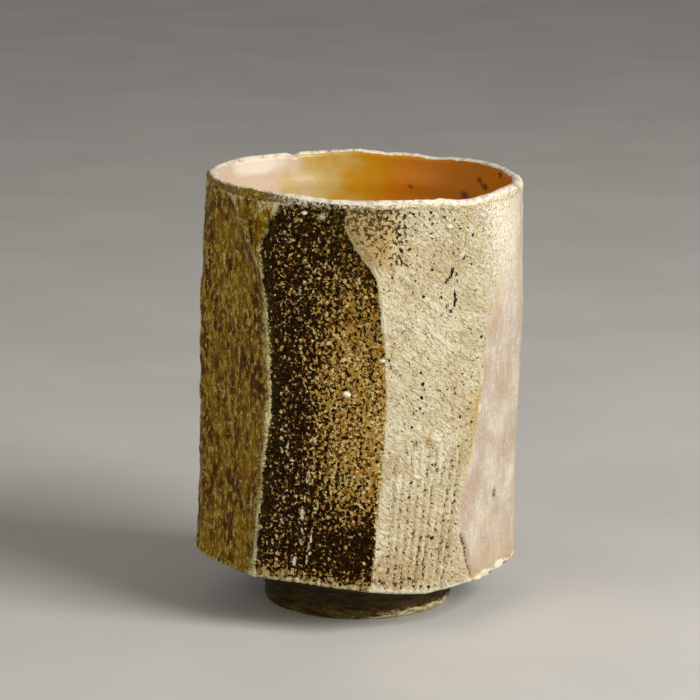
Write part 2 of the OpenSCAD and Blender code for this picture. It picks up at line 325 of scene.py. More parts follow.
class YunomiSizes(bpy.types.PropertyGroup):
    """How finely the cup is modelled and how strong its relief is."""

    coat_steps: IntProperty(name="Steps", description="Steps around the ash coat", default=480)
    coat_rows: IntProperty(name="Rows", description="Rows up the ash coat", default=180)
    coat_depth: length_prop("Coat depth", "How far the ash coat goes in behind its surface", 0.75)
    grain: length_prop("Grain", "Height of the crust's small wrinkles", 0.13)
    sway: length_prop("Sway", "How unevenly the knife left the facets", 0.2)
    lip_crust: length_prop("Lip crust", "How far the crust stands proud of the lip", 0.14)
    lip_wave: length_prop("Lip wave", "How far the crest of the lip rises and falls", 0.45)
    throwing: length_prop("Throwing rings", "Height of the throwing rings in the well", 0.12)
    foot_wear: length_prop("Foot wear", "How uneven the foot ring is", 0.22)


class YunomiColours(bpy.types.PropertyGroup):
    """Colours of the fired surfaces."""

    __annotations__ = {name: colour_prop(name.title(), use, *seen) for name, use, *seen in COLOURS}


class YunomiStage(bpy.types.PropertyGroup):
    """Floor, light and camera."""

    floor: colour_prop("Floor", "Colour of the floor", 214, 212, 208)
    key: FloatProperty(name="Key light", description="Power of the large light on the right", default=9.0)
    fill: FloatProperty(name="Fill light", description="Power of the weak light on the left", default=2.2)
    sky: FloatProperty(name="Sky", description="Strength of the pale surroundings", default=0.2)
    lens: FloatProperty(name="Lens", description="Focal length of the camera, in mm", default=166.94)
    aim_z: length_prop("Aim height", "Height that the camera looks at", 53.85)
    aim_x: length_prop("Aim side", "Sideways place that the camera looks at", -1.63)
    distance: length_prop("Distance", "Distance from the camera to what it looks at", 690.0)
    elevation: FloatProperty(name="Elevation", description="Angle that the camera looks down", default=11.8)


def turned(azimuth):
    """An azimuth, or an array of them, brought between -180 and 180."""
    return (azimuth + 180.0) % 360.0 - 180.0


def unit(value):
    """A value kept between 0 and 1."""
    return np.clip(value, 0.0, 1.0)


def ramp(value, low, high):
    """0 below low and 1 above high, with a smooth rise between them. Low may be above high."""
    share = unit((value - low) / (high - low))
    return share * share * (3.0 - 2.0 * share)


def hill(value, middle, reach):
    """1 at the middle, falling away smoothly to both sides."""
    return np.exp(-(((value - middle) / reach) ** 2))


def around(azimuth, middle, reach):
    """1 at one azimuth, falling away smoothly on both sides of it, right around the cup."""
    return hill(turned(azimuth - middle), 0.0, reach)


def arc(azimuth, middle, radius=UNROLL_R):
    """Distance around the unrolled wall from one azimuth."""
    return np.radians(turned(azimuth - middle)) * radius


def grain_noise(points, size, seed, octaves=1):
    """Noise of about -1 to 1 at points in millimetres, with features of about the size given."""
    shift = Vector((seed * 17.3, seed * 5.1, seed * 9.7))
    if octaves == 1:
        return 1.6 * np.array([noise.noise(Vector(p) / size + shift) for p in points])
    return np.array([noise.fractal(Vector(p) / size + shift, 0.8, 2.0, octaves) for p in points])


def drawn_noise(first, second, third, seed):
    """Noise over three coordinates that are already divided by the size of its features."""
    return grain_noise(np.stack([first, second, third], axis=1), 1.0, seed)


def line_gap(azimuth, height, line):
    """Distance along the unrolled wall from a line of (azimuth, height) points."""
    start = line[0][0]
    across = arc(azimuth, start)
    gap = np.full(len(across), 1e9)
    for (a0, z0), (a1, z1) in zip(line, line[1:]):
        x0 = math.radians(a0 - start) * UNROLL_R
        dx = math.radians(a1 - a0) * UNROLL_R
        dz = z1 - z0
        along = unit(((across - x0) * dx + (height - z0) * dz) / (dx * dx + dz * dz))
        gap = np.minimum(gap, np.hypot(across - x0 - along * dx, height - z0 - along * dz))
    return gap


def past_line(azimuth, height, line):
    """Signed distance from a line: above zero on its right."""
    places = sorted((z, a) for a, z in line)
    at_height = np.interp(height, [z for z, a in places], [a for z, a in places])
    aside = turned(azimuth - at_height)
    return np.where(aside < 0, -1.0, 1.0) * line_gap(azimuth, height, line)


def side(azimuth, height, line, width=2.4):
    """0 on the left of a ridge and 1 on its right, changing over a width."""
    return unit(0.5 + past_line(azimuth, height, line) / width)


def facet(azimuth, height, left, right):
    """1 on the facet between two ridges and 0 elsewhere."""
    return side(azimuth, height, left) * (1.0 - side(azimuth, height, right))


def edge_lift(azimuth):
    """How far the lower edge rises at each azimuth."""
    azimuths, lifts = zip(*EDGE_LIFTS)
    return np.interp(turned(azimuth), azimuths, lifts)


def crest_rise(azimuth, wave):
    """How far the crest of the lip rises at each azimuth, and its quick and slow unevenness."""
    rings = wall_points(azimuth, LIP_R, 0.0)
    slow = grain_noise(rings, 16.0, 21)
    quick = grain_noise(rings, 3.2, 22)
    dip = 0.55 * around(azimuth, 41.0, 7.0) + 0.5 * around(azimuth, -151.0, 2.2)
    return wave * (0.7 * slow + 0.35 * quick) - dip + 0.4 * hill(azimuth, 118.0, 26.0), quick, slow


def solids_of(names):
    """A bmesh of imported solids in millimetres, set upright."""
    solids = bmesh.new()
    for name in names:
        solids.from_mesh(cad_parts[name].data)
    bmesh.ops.remove_doubles(solids, verts=solids.verts, dist=1e-7)
    bmesh.ops.transform(solids, matrix=TO_WORLD.inverted(), verts=solids.verts)
    return solids


def tree_of(names):
    """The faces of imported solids, set upright, for rays to be cast at."""
    solids = solids_of(names)
    tree = BVHTree.FromBMesh(solids)
    solids.free()
    return tree


class Sounding:
    """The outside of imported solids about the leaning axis, read by azimuth and height."""

    def __init__(self, names, low, high, steps, rows):
        self.tree = tree_of(names)
        self.low = low
        self.gap = (high - low) / (rows - 1)
        self.steps = steps
        self.grid = np.array(
            [[self.cast(360.0 * i / steps, low + self.gap * k) for i in range(steps)] for k in range(rows)]
        )

    def cast(self, azimuth, height):
        """Radius of the outermost surface."""
        angle = math.radians(azimuth)
        outward = Vector((math.sin(angle), -math.cos(angle), 0.0))
        start = outward * 2.0 * EDGE_R + Vector((0.0, 0.0, height))
        place = self.tree.ray_cast(start, -outward)[0]
        if place is None:
            raise RuntimeError(f"no wall at azimuth {azimuth:.1f} and height {height:.1f}")
        return math.hypot(place.x, place.y)

    def fill_pocket(self, azimuth, height, reach):
        """Carries the wall straight across a stone's pocket."""
        half = int(math.degrees(reach / UNROLL_R) / 360.0 * self.steps) + 1
        middle = int(round(azimuth % 360.0 / 360.0 * self.steps))
        for k in range(len(self.grid)):
            if abs(self.low + self.gap * k - height) > reach:
                continue
            first = self.grid[k][(middle - half) % self.steps]
            last = self.grid[k][(middle + half) % self.steps]
            for i in range(1, 2 * half):
                self.grid[k][(middle - half + i) % self.steps] = first + (last - first) * i / (2 * half)

    def soften(self, passes, share=1.0):
        """Rounds the ridges a little, where share isn't zero."""
        for _ in range(passes):
            beside = np.roll(self.grid, 1, 1) + np.roll(self.grid, -1, 1)
            self.grid = self.grid + share * (0.25 * beside - 0.5 * self.grid)

    def radius(self, azimuth, height):
        """Radius of the wall for an array of azimuths, at one height or at a height for each."""
        across = (azimuth % 360.0) / 360.0 * self.steps
        up = np.clip((height - self.low) / self.gap, 0.0, len(self.grid) - 1.001)
        i = across.astype(int) % self.steps
        k = up.astype(int)
        u = across - np.floor(across)
        v = up - k
        j = (i + 1) % self.steps
        lower = self.grid[k, i] * (1 - u) + self.grid[k, j] * u
        upper = self.grid[k + 1, i] * (1 - u) + self.grid[k + 1, j] * u
        return lower * (1 - v) + upper * v


def spun(outline, steps, closed):
    """A bmesh of an outline of (radius, height) points spun about the axis, one sector at a time."""
    bm = bmesh.new()
    verts = [bm.verts.new((0.0, -r, z)) for r, z in outline]
    ends = zip(verts, verts[1:] + verts[:1]) if closed else zip(verts, verts[1:])
    edges = [bm.edges.new(pair) for pair in ends]
    sector = math.tau / SECTORS
    bmesh.ops.spin(
        bm, geom=verts + edges, cent=(0, 0, 0), axis=(0, 0, 1), dvec=(0, 0, 0),
        angle=sector, steps=steps // SECTORS, use_merge=False, use_duplicate=False,
    )
    first = bm.verts[:] + bm.edges[:] + bm.faces[:]
    for number in range(1, SECTORS):
        copied = bmesh.ops.duplicate(bm, geom=first)["geom"]
        turned_verts = [part for part in copied if isinstance(part, bmesh.types.BMVert)]
        turn = Matrix.Rotation(sector * number, 3, "Z")
        bmesh.ops.rotate(bm, verts=turned_verts, cent=(0, 0, 0), matrix=turn)
    bmesh.ops.remove_doubles(bm, verts=bm.verts, dist=1e-4)
    bmesh.ops.recalc_face_normals(bm, faces=bm.faces)
    return bm


def read_rings(bm):
    """Azimuths, radii and heights of a spun bmesh's vertices, as arrays."""
    places = np.array([v.co for v in bm.verts], float).reshape(-1, 3)
    azimuth = np.degrees(np.arctan2(places[:, 0], -places[:, 1]))
    return azimuth, np.hypot(places[:, 0], places[:, 1]), places[:, 2]


def wall_points(azimuth, radius, height):
    """Points of the upright form for azimuths, radii and heights."""
    angle = np.radians(azimuth)
    return np.stack(np.broadcast_arrays(radius * np.sin(angle), -radius * np.cos(angle), height), axis=1)


def place_verts(bm, points):
    """Moves every vertex to its own point."""
    for vert, point in zip(bm.verts, points):
        vert.co = point


def finished(name, bm, material, replaced, masks=None, matrix=TO_WORLD):
    """Makes an object of a bmesh in millimetres, with its masks, finish and place in the frame.

    A mask has up to three columns. Those that are left out are zero.
    """
    bmesh.ops.transform(bm, matrix=matrix, verts=bm.verts)
    mesh = bpy.data.meshes.new(name)
    bm.to_mesh(mesh)
    bm.free()
    mesh.shade_smooth()
    for mask_name, columns in (masks or {}).items():
        table = np.zeros((len(mesh.vertices), 3), np.float32)
        for number, column in enumerate(columns):
            table[:, number] = column
        mesh.attributes.new(mask_name, "FLOAT_VECTOR", "POINT").data.foreach_set("vector", table.ravel())
    mesh.materials.append(material)
    piece = bpy.data.objects.new(name, mesh)
    bpy.context.collection.objects.link(piece)
    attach(piece, BODY)
    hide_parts(replaced)
    return piece


class Wire:
    """One output of a node. Sums on wires add the nodes that they need."""

    def __init__(self, finish, socket):
        self.finish = finish
        self.socket = socket

    def __add__(self, other):
        return self.finish.calc("ADD", self, other)

    def __sub__(self, other):
        return self.finish.calc("SUBTRACT", self, other)

    def __rsub__(self, other):
        return self.finish.calc("SUBTRACT", other, self)

    def __mul__(self, other):
        return self.finish.calc("MULTIPLY", self, other)

    __radd__ = __add__


class Finish:
    """One material, whose nodes are added and linked by short calls."""

    def __init__(self, name):
        self.material = bpy.data.materials.new(name)
        self.material.use_nodes = True
        self.tree = self.material.node_tree
        self.shader = self.tree.nodes["Principled BSDF"]
        self.place = self.node("ShaderNodeTexCoord", "Object", {})

    def put(self, socket, value):
        """Links a socket to a wire, or sets it to a plain value."""
        if isinstance(value, Wire):
            self.tree.links.new(value.socket, socket)
        elif socket.type == "RGBA":
            socket.default_value = (*value[:3], 1.0)
        else:
            socket.default_value = value

    def node(self, kind, output, inputs, **settings):
        """Adds a node with its settings and inputs, and gives one of its outputs as a wire."""
        made = self.tree.nodes.new(kind)
        for name, value in settings.items():
            setattr(made, name, value)
        for key, value in inputs.items():
            self.put(made.inputs[key], value)
        return Wire(self, made.outputs[output])

    def parts(self, vector):
        """The three numbers of a vector or a colour."""
        first = self.node("ShaderNodeSeparateXYZ", 0, {0: vector})
        return [Wire(self, socket) for socket in first.socket.node.outputs]

    def coords(self, stretch=(1.0, 1.0, 1.0), turn=(0.0, 0.0, 0.0)):
        """Object coordinates in millimetres, turned by degrees and stretched along each axis."""
        inputs = {
            "Vector": self.place,
            "Rotation": [math.radians(angle) for angle in turn],
            "Scale": [MM * share for share in stretch],
        }
        return self.node("ShaderNodeMapping", "Vector", inputs, vector_type="TEXTURE")

    def noise(self, vector, size, detail=2.0, rough=0.5, warp=0.0):
        """Smooth noise around 0.5, with features of about a size."""
        inputs = {"Vector": vector, "Scale": 1.0 / size, "Detail": detail, "Roughness": rough}
        return self.node("ShaderNodeTexNoise", "Fac", {**inputs, "Distortion": warp})

    def cells(self, vector, size):
        """Distance to the middle of the nearest scattered cell, and three random shares of that cell."""
        distance = self.node("ShaderNodeTexVoronoi", "Distance", {"Vector": vector, "Scale": 1.0 / size})
        return distance, *self.parts(Wire(self, distance.socket.node.outputs["Color"]))

    def chance(self, vector, size):
        """A number from 0 to 1 that is the same all over each scattered cell."""
        return self.cells(vector, size)[1]

    def dots(self, vector, size, share, radius):
        """Scattered ragged dots. A share of the cells holds one."""
        distance, chosen, wide, _ = self.cells(vector, size)
        reach = self.rise(wide, 0.0, 1.0, radius, 0.45 * radius)
        ragged = (self.noise(vector, 0.4, 1.0) - 0.5) * (1.8 * radius)
        inside = self.calc("LESS_THAN", distance + ragged, reach)
        return inside * self.calc("LESS_THAN", chosen, share)

    def calc(self, operation, a, b):
        """One sum on two numbers."""
        return self.node("ShaderNodeMath", "Value", {0: a, 1: b}, operation=operation)

    def rise(self, value, low, high, top=1.0, bottom=0.0):
        """Smooth change from bottom to top as value goes from low to high. Low may be above high."""
        inputs = {"Value": value, "From Min": low, "From Max": high, "To Min": bottom, "To Max": top}
        return self.node("ShaderNodeMapRange", "Result", inputs, interpolation_type="SMOOTHSTEP")

    def mix(self, share, under, over):
        """Mix of two colours."""
        return self.node("ShaderNodeMix", 2, {0: share, 6: under, 7: over}, data_type="RGBA")

    def blend(self, share, a, b):
        """Mix of two numbers."""
        return self.node("ShaderNodeMix", 0, {0: share, 2: a, 3: b}, data_type="FLOAT")

    def layers(self, colour, *rows):
        """Lays colours over one another. A row has a colour, then its share or what rise takes."""
        for over, *place in rows:
            share = self.rise(*place) if len(place) > 1 else place[0]
            colour = self.mix(share, colour, over)
        return colour

    def mask(self, name):
        """The three numbers of one of the piece's masks."""
        return self.parts(self.node("ShaderNodeAttribute", "Vector", {}, attribute_name=name))

    def close(self, colour, roughness, height, specular=0.5, tint=(1.0, 1.0, 1.0), coat=0.0):
        """Links the shader. Height is in millimetres."""
        inputs = {
            "Base Color": colour,
            "Roughness": roughness,
            "Normal": self.node("ShaderNodeBump", "Normal", {"Height": height, "Distance": MM}),
            "Coat Weight": coat,
            "Coat Roughness": COAT_ROUGHNESS,
            "Specular IOR Level": specular,
            "Specular Tint": tint,
        }
        for name, value in inputs.items():
            self.put(self.shader.inputs[name], value)
        return self.material


def ash_finish(colours):
    """Natural ash on the faceted wall: crust, dark melt, runny olive, blush and flashed clay."""
    f = Finish("ash_finish")
    runny, blush, toast = f.mask("zones")
    melt, warm, green = f.mask("ash")
    pale, ochre, dark = f.mask("marks")
    rosy, leafy, feathered = f.mask("tints")
    mm = f.coords()
    fine = f.noise(mm, 0.5, 2.0, 0.6)
    medium = f.noise(mm, 1.5, 2.0, 0.55)
    broad = f.noise(mm, 8.0, 2.0, 0.5)
    speckle = f.noise(mm, 0.76, 3.0, 0.74)
    wrinkles = f.noise(f.coords((1.9, 0.8, 0.8), (0.0, 38.0, 27.0)), 0.56, 3.0, 0.68, 0.4)
    chance = f.chance(mm, 0.6)

    # Crust: cream with beige and ochre hollows and paler crests. These follow the bump's wrinkles, so they
    # are partly the crust's own colour and partly painted shade in the hollows and painted highlight on the
    # crests.
    cream = f.layers(
        colours.beige,
        (colours.cream, wrinkles, 0.38, 0.52, 1.0, 0.35),
        (colours.rose, rosy + (medium - 0.5) * 1.2, 0.15, 0.95, 0.75),
        (colours.ochre, wrinkles, 0.4, 0.3, 0.55),
        (colours.shell, wrinkles, 0.53, 0.66),
        (colours.beige, broad, 0.42, 0.66, 0.4),
        (colours.ochre, fine, 0.45, 0.36, 0.5),
    )
    # Grains over the dark melt: each one ochre, cream or rust, and leaf green near the lower edge
    leaf = f.layers(
        colours.olive,
        (colours.beige, speckle, 0.44, 0.56),
        (colours.lichen, medium, 0.4, 0.6, 0.7),
    )
    grains = f.layers(
        colours.ochre,
        (colours.straw, f.calc("GREATER_THAN", chance, 0.4 + warm * 0.42)),
        (colours.rust, f.calc("LESS_THAN", chance, 0.12)),
        (colours.umber, fine, 0.54, 0.4, 0.5),
        (colours.olive, green * f.rise(medium, 0.4, 0.6, 0.6, 0.1)),
        (leaf, leafy + (medium - 0.5) * 0.8, 0.2, 0.7),
    )
    crust = f.mix(f.rise(warm, 0.15, 0.35), cream, grains)

    # Dark melt shows where the speckle noise is below the level of the melt
    excess = melt - f.calc("DIVIDE", speckle - 0.5, 0.068)
    clustered = f.rise(f.noise(mm, 6.0), 0.42, 0.6, 0.6, 0.2)
    melted = f.calc("MAXIMUM", f.rise(excess, -0.16, 0.16), f.dots(mm, 2.1, clustered, 0.2))
    crumbs = f.dots(f.coords((1.0, 1.0, 1.3)), 1.0, 0.5, 0.34)
    melted = melted * (1.0 - crumbs * f.rise(warm, 0.2, 0.4))
    soot = f.layers(
        colours.soot,
        (colours.umber, fine, 0.5, 0.68, 0.5),
        (colours.umber, f.rise(excess, 0.7, 0.1, 0.7) * f.rise(warm, 0.2, 0.4)),
        (colours.moss, green * f.rise(medium, 0.4, 0.62, 0.75)),
    )

    # Runny ash: olive over umber in upright streaks, with pale runs
    streaks = f.noise(f.coords((1.0, 1.0, 1.5)), 1.7, 4.0, 0.68, 0.4)
    runs = f.noise(f.coords((1.0, 1.0, 1.7)), 1.1, 3.0, 0.64)
    patches = f.noise(f.coords((1.0, 1.0, 1.6)), 5.0, 2.0, 0.5)
    mottle = streaks + (patches - 0.5) * 0.9 - rosy * 0.12
    olive = f.layers(
        colours.umber,
        (colours.olive, mottle, 0.38, 0.62),
        (colours.bark, mottle, 0.47, 0.33, 0.75),
        (colours.lichen, runs + streaks * 0.6, 0.78, 0.92, 0.95),
        (colours.umber, fine, 0.5, 0.36, 0.45),
        (colours.celadon, fine + runs * 0.7, 0.94, 1.06, 0.65),
    )
    edge = (medium - 0.5) * 0.9
    is_runny = f.rise(runny + edge, 0.42, 0.58)

    # Blush: pale satin, clouded, with faint upright lines
    lines = f.noise(f.coords((1.0, 1.0, 16.0)), 0.6, 2.0, 0.6)
    veins = f.noise(f.coords((1.0, 1.0, 5.0)), 1.1, 3.0, 0.6, 0.3)
    clouds = broad * 0.6 + medium * 0.4
    satin = f.layers(
        colours.blush,
        (colours.veil, broad, 0.3, 0.7),
        (colours.shell, clouds, 0.48, 0.68, 0.36),
        (colours.rose, clouds, 0.5, 0.36, 0.34),
        (colours.beige, veins, 0.5, 0.38, 0.22),
        (colours.shell, veins, 0.52, 0.7, 0.26),
        (colours.beige, fine, 0.5, 0.36, 0.35),
        (colours.shell, fine, 0.54, 0.7, 0.35),
        (colours.ochre, lines, 0.56, 0.72, 0.4),
        (colours.rose, rosy + (medium - 0.5) * 1.4, 0.2, 0.9, 0.6),
        (colours.shell, feathered * f.rise(fine, 0.36, 0.6, 0.75, 0.25)),
    )
    feather = (fine - 0.5) * (0.8 + feathered * 1.6)
    is_blush = f.rise(blush + edge * 0.4 + feather, 0.1, 0.9) * f.rise(blush, 0.0, 0.25)

    # Flashed clay at the back, with thin ash on it, and tan where it meets the other zones
    drift = speckle + (f.noise(mm, 11.0, 3.0, 0.6) - 0.5) * 0.5
    flashed = f.layers(
        colours.char,
        (colours.toast, broad, 0.36, 0.64),
        (colours.toast, medium, 0.42, 0.62, 0.5),
        (colours.beige, drift, 0.54, 0.63, 0.5),
        (colours.cream, drift, 0.6, 0.7, 0.5),
        (colours.soot, drift, 0.44, 0.34, 0.75),
    )
    spread = (broad - 0.5) * 1.3 + edge * 0.35 + (fine - 0.5) * 0.5
    is_toast = f.rise(toast + spread, 0.12, 0.85) * f.rise(toast, 0.0, 0.15)
    tan = f.mix(f.rise(fine, 0.42, 0.6), colours.rose, colours.wheat)
    toasted = f.mix(f.rise(is_toast, 0.35, 0.8), tan, flashed)

    # Marks: pale crests, ochre streaks and dark cracks, all grainy
    grainy = (fine - 0.5) * 2.0
    blotchy = (medium - 0.5) * 1.6
    is_pale = f.rise(pale + grainy * 0.55 + blotchy * 0.5, 0.3, 0.75) * f.rise(pale, 0.0, 0.2)
    mossy = f.mix(f.rise(fine, 0.4, 0.62), colours.lichen, colours.celadon)
    whitest = f.rise(pale, 0.66, 1.0, 0.85) * f.rise(is_runny + leafy * 0.5, 1.0, 0.0, 1.0, 0.3)
    crest = f.layers(
        colours.cream,
        (colours.shell, fine, 0.44, 0.58),
        (mossy, green * 0.7 + is_runny, 0.0, 0.7, 0.85),
        (colours.straw, f.rise(warm, 0.2, 0.6, 0.6) * f.rise(green, 0.7, 0.3)),
        (colours.shell, whitest),
        (colours.olive, f.rise(speckle, 0.47, 0.4, 0.8) * is_runny),
    )
    is_ochre = f.rise(ochre + grainy * 0.7, 0.2, 0.95, 0.75) * f.rise(ochre, 0.0, 0.2)
    stain = f.mix(f.rise(ochre, 0.6, 1.0, 0.7), colours.ochre, colours.rust)
    colour = f.layers(
        crust,
        (soot, melted),
        (olive, is_runny),
        (satin, is_blush),
        (toasted, is_toast),
        (crest, is_pale),
        (stain, is_ochre * f.rise(melted, 0.0, 1.0, 0.25, 1.0)),
        (colours.soot, dark + grainy * 0.5, 0.25, 0.6),
    )

    shares = (melted, is_runny, is_blush, is_toast, is_pale)
    rough = 0.6
    for share, value in zip(shares, (0.36, 0.34, 0.45, 0.55, 0.45)):
        rough = f.blend(share, rough, value)
    rough = rough + (fine - 0.5) * 0.3
    crusty = f.blend(f.rise(warm, 0.15, 0.35), wrinkles * 0.9 + medium * 0.2, speckle * 0.7) - melted * 0.08
    height = f.blend(is_runny, crusty, streaks * 0.3 + fine * 0.06)
    height = f.blend(is_blush, height, fine * 0.22 + lines * 0.12 + veins * 0.14)
    height = f.blend(is_toast, height, speckle * 0.4)
    height = height + is_pale * (0.03 + fine * 0.2)
    return f.close(colour, rough, height, specular=0.05, tint=WARM_GLOSS)


def well_colour(f, colours, shade):
    """Colour of the well's glaze: pale on the left, golden in the middle and amber on the right. This is
    partly the glaze's own colour, partly painted light on the lit left and painted shade on the shaded
    right.
    """
    tone = shade + (f.noise(f.coords(), 7.0, 3.0, 0.5) - 0.5) * 0.45
    return f.layers(
        colours.petal,
        (colours.wheat, tone, 0.36, 0.52),
        (colours.honey, tone, 0.5, 0.66),
        (colours.amber, tone, 0.64, 0.84),
    )


def crust_finish(colours):
    """White crust on the lip, with violet and brown specks, that runs down into the wall's colours."""
    f = Finish("lip_crust_finish")
    inner, worn, skirt = f.mask("marks")
    shade, dark, left = f.mask("tones")
    mm = f.coords()
    fine = f.noise(mm, 0.5, 3.0, 0.6)
    medium = f.noise(mm, 1.6, 3.0, 0.6)
    grainy = (fine - 0.5) * 2.0
    blotchy = (medium - 0.5) * 2.6
    # Its outer side takes the colours of the wall below
    runny = f.layers(
        colours.umber,
        (colours.olive, medium, 0.38, 0.56),
        (colours.lichen, fine + medium * 0.5, 0.7, 0.88, 0.8),
        (colours.celadon, fine, 0.56, 0.68, 0.6),
    )
    wall = f.layers(
        colours.cream,
        (colours.beige, fine, 0.52, 0.4),
        (runny, left),
        (colours.soot, dark * f.rise(fine, 0.58, 0.46)),
    )
    is_glaze = f.rise(inner + blotchy * 0.4, 0.35, 0.65)
    colour = f.layers(
        f.mix(f.rise(fine, 0.4, 0.6), colours.veil, colours.petal),
        (colours.feldspar, medium, 0.36, 0.52),
        (colours.petal, fine, 0.56, 0.64, 0.5),
        (wall, skirt + blotchy + grainy * 0.5, 0.35, 0.75),
        (colours.smoke, worn + grainy * 0.9 + blotchy * 0.5, 0.72, 0.95, 0.8),
        # The inner side takes the well's colours, with their painted light and shade
        (well_colour(f, colours, shade), is_glaze),
    )
    rough = f.blend(is_glaze, 0.3 + fine * 0.3, 0.2)
    height = f.blend(is_glaze, fine * 0.2 + medium * 0.25, 0.2)
    return f.close(colour, rough, height, specular=0.35, tint=WARM_GLOSS)


def well_finish(colours):
    """Glossy glaze in the well, with a painted highlight under the lip at the back left and a few dark
    spots.
    """
    f = Finish("well_finish")
    shade, spots, pool = f.mask("tones")
    painted_highlight = f.mask("painted_highlight_mask")[0]
    mm = f.coords()
    fine = f.noise(mm, 0.6, 2.0, 0.6)
    cloud = f.noise(mm, 7.0, 3.0, 0.55)
    colour = f.layers(
        well_colour(f, colours, shade),
        # Painted highlight: a broad white reflection on the glaze under the lip at the back left
        (colours.feldspar, painted_highlight + (cloud - 0.5) * 0.8, 0.2, 0.8, 0.9),
        (colours.glass, pool, 0.3, 1.0, 0.7),
        (colours.rust, fine, 0.66, 0.74, 0.25),
        (colours.bark, spots + (fine - 0.5) * 0.6, 0.3, 0.8, 0.85),
    )
    return f.close(colour, 0.14 + cloud * 0.2, cloud * 0.15 + fine * 0.03, specular=0.4, tint=WARM_GLOSS)


def clay_finish(colours):
    """Bare, flashed clay under the cup, with grit, tool marks and thin ash at its edge."""
    f = Finish("clay_finish")
    ash = f.mask("tones")[0]
    mm = f.coords()
    fine = f.noise(mm, 0.5, 3.0, 0.6)
    medium = f.noise(mm, 2.5, 3.0, 0.55)
    sooty = f.layers(
        colours.soot,
        (colours.clay, fine, 0.54, 0.68),
        (colours.moss, medium, 0.52, 0.64, 0.5),
    )
    colour = f.layers(
        colours.char,
        (colours.clay, medium, 0.4, 0.62),
        (colours.toast, f.noise(mm, 8.0), 0.48, 0.66, 0.6),
        (colours.beige, fine, 0.6, 0.7, 0.6),
        (sooty, ash + (fine - 0.5) * 0.8, 0.25, 0.6, 0.95),
    )
    return f.close(colour, 0.6 + fine * 0.3, fine * 0.15 + medium * 0.3, specular=0.2, tint=WARM_GLOSS)


def foot_finish(colours):
    """Foot ring: dark clay, green glass that ran down to its lower edge, with painted glints in it, and a
    pale worn rim.
    """
    f = Finish("foot_finish")
    glassy, worn, flame = f.mask("tones")
    fine = f.noise(f.coords(), 0.5, 3.0, 0.6)
    bands = f.noise(f.coords((4.0, 4.0, 0.8)), 1.1, 3.0, 0.65)
    # Painted glints: the olive, celadon and glass streaks that follow this noise are partly the glass's own
    # colour and partly painted highlight
    glints = f.noise(f.coords((2.2, 2.2, 0.7)), 0.9, 3.0, 0.65)
    grainy = (fine - 0.5) * 1.4
    glass = f.layers(
        colours.bark,
        (colours.glass, bands, 0.4, 0.6),
        (colours.olive, glints, 0.46, 0.64, 0.5),
        (colours.celadon, glints, 0.56, 0.72, 0.5),
    )
    is_glass = f.rise(glassy + (bands - 0.5) * 1.6, 0.15, 0.95)
    rim = f.mix(f.rise(glints, 0.4, 0.6), colours.lichen, colours.cream)
    colour = f.layers(
        colours.soot,
        (colours.moss, bands, 0.4, 0.6),
        (colours.bark, glints, 0.4, 0.62, 0.6),
        (colours.glass, glints, 0.54, 0.7, 0.5),
        (glass, is_glass),
        (colours.char, flame + grainy, 0.3, 0.8, 0.75),
        (rim, worn + grainy * 0.6 + (glints - 0.5), 0.35, 0.8),
    )
    rough = f.blend(is_glass, 0.62, 0.25)
    return f.close(colour, rough, fine * 0.1 + bands * 0.3, specular=0.3, tint=WARM_GLOSS)


def feldspar_finish(colours):
    """Melted feldspar: milky white, glossy, with a warm halo in its hollows."""
    f = Finish("feldspar_finish")
    mm = f.coords()
    fine = f.noise(mm, 0.35, 2.0, 0.6)
    medium = f.noise(mm, 0.9, 2.0, 0.5)
    colour = f.layers(
        colours.cream,
        (colours.feldspar, medium, 0.42, 0.66),
        (colours.wheat, fine, 0.5, 0.66, 0.6),
    )
    return f.close(colour, 0.15 + medium * 0.35, fine * 0.08 + medium * 0.1, coat=0.4)


def floor_finish(colour):
    """Plain pale floor with a faint mottle."""
    f = Finish("floor_finish")
    cloud = f.noise(f.coords(), 60.0, 3.0, 0.5)
    darker = [0.94 * part for part in colour]
    seen = f.mix(f.rise(cloud, 0.35, 0.65), darker, colour)
    grain = f.noise(f.coords(), 0.8, 2.0, 0.5)
    return f.close(seen, 0.55 + cloud * 0.1, grain * 0.02)


def groove_field(azimuth, height, seed):
    """Depth of the drag grooves, and how far each point is up on a crest between two of them."""
    chance = random.Random(seed)
    depth = np.zeros(len(azimuth))
    crest = np.zeros(len(azimuth))
    for a0, a1, z_top, b0, b1, z_low, count, deep in GROOVES:
        down = (z_top - height) / (z_top - z_low)
        left = a0 + (b0 - a0) * down
        right = a1 + (b1 - a1) * down
        place = turned(azimuth - left) / (right - left) * count
        number = np.clip(np.floor(place), 0, count - 1).astype(int)
        starts = np.array([chance.uniform(-7.0, 3.0) for _ in range(count)])[number]
        strength = np.array([chance.uniform(0.6, 1.0) for _ in range(count)])[number]
        here = (place > 0) & (place < count) & (height > z_low - 1.0)
        here = here * ramp(height, z_top + starts, z_top + starts - 5.0) * strength
        wave = np.cos(math.tau * (place - 0.5))
        depth += here * deep * unit(wave)
        crest += here * unit(-wave)
    return depth, crest


def dash_spots():
    """The rows of dashes as spots of the wall, each a little out of place."""
    chance = random.Random(5)
    spots = []
    for (a0, z0), (a1, z1), pitch, strength in DASH_ROWS:
        count = round((z0 - z1) / pitch)
        for number in range(count):
            share = (number + chance.uniform(0.1, 0.9)) / count
            azimuth = a0 + (a1 - a0) * share + chance.uniform(-0.5, 0.5)
            wide = chance.uniform(0.28, 0.42)
            tall = chance.uniform(0.4, 1.1)
            spots.append((azimuth, z0 + (z1 - z0) * share, wide, tall, 0.12, strength))
    return tuple(spots)


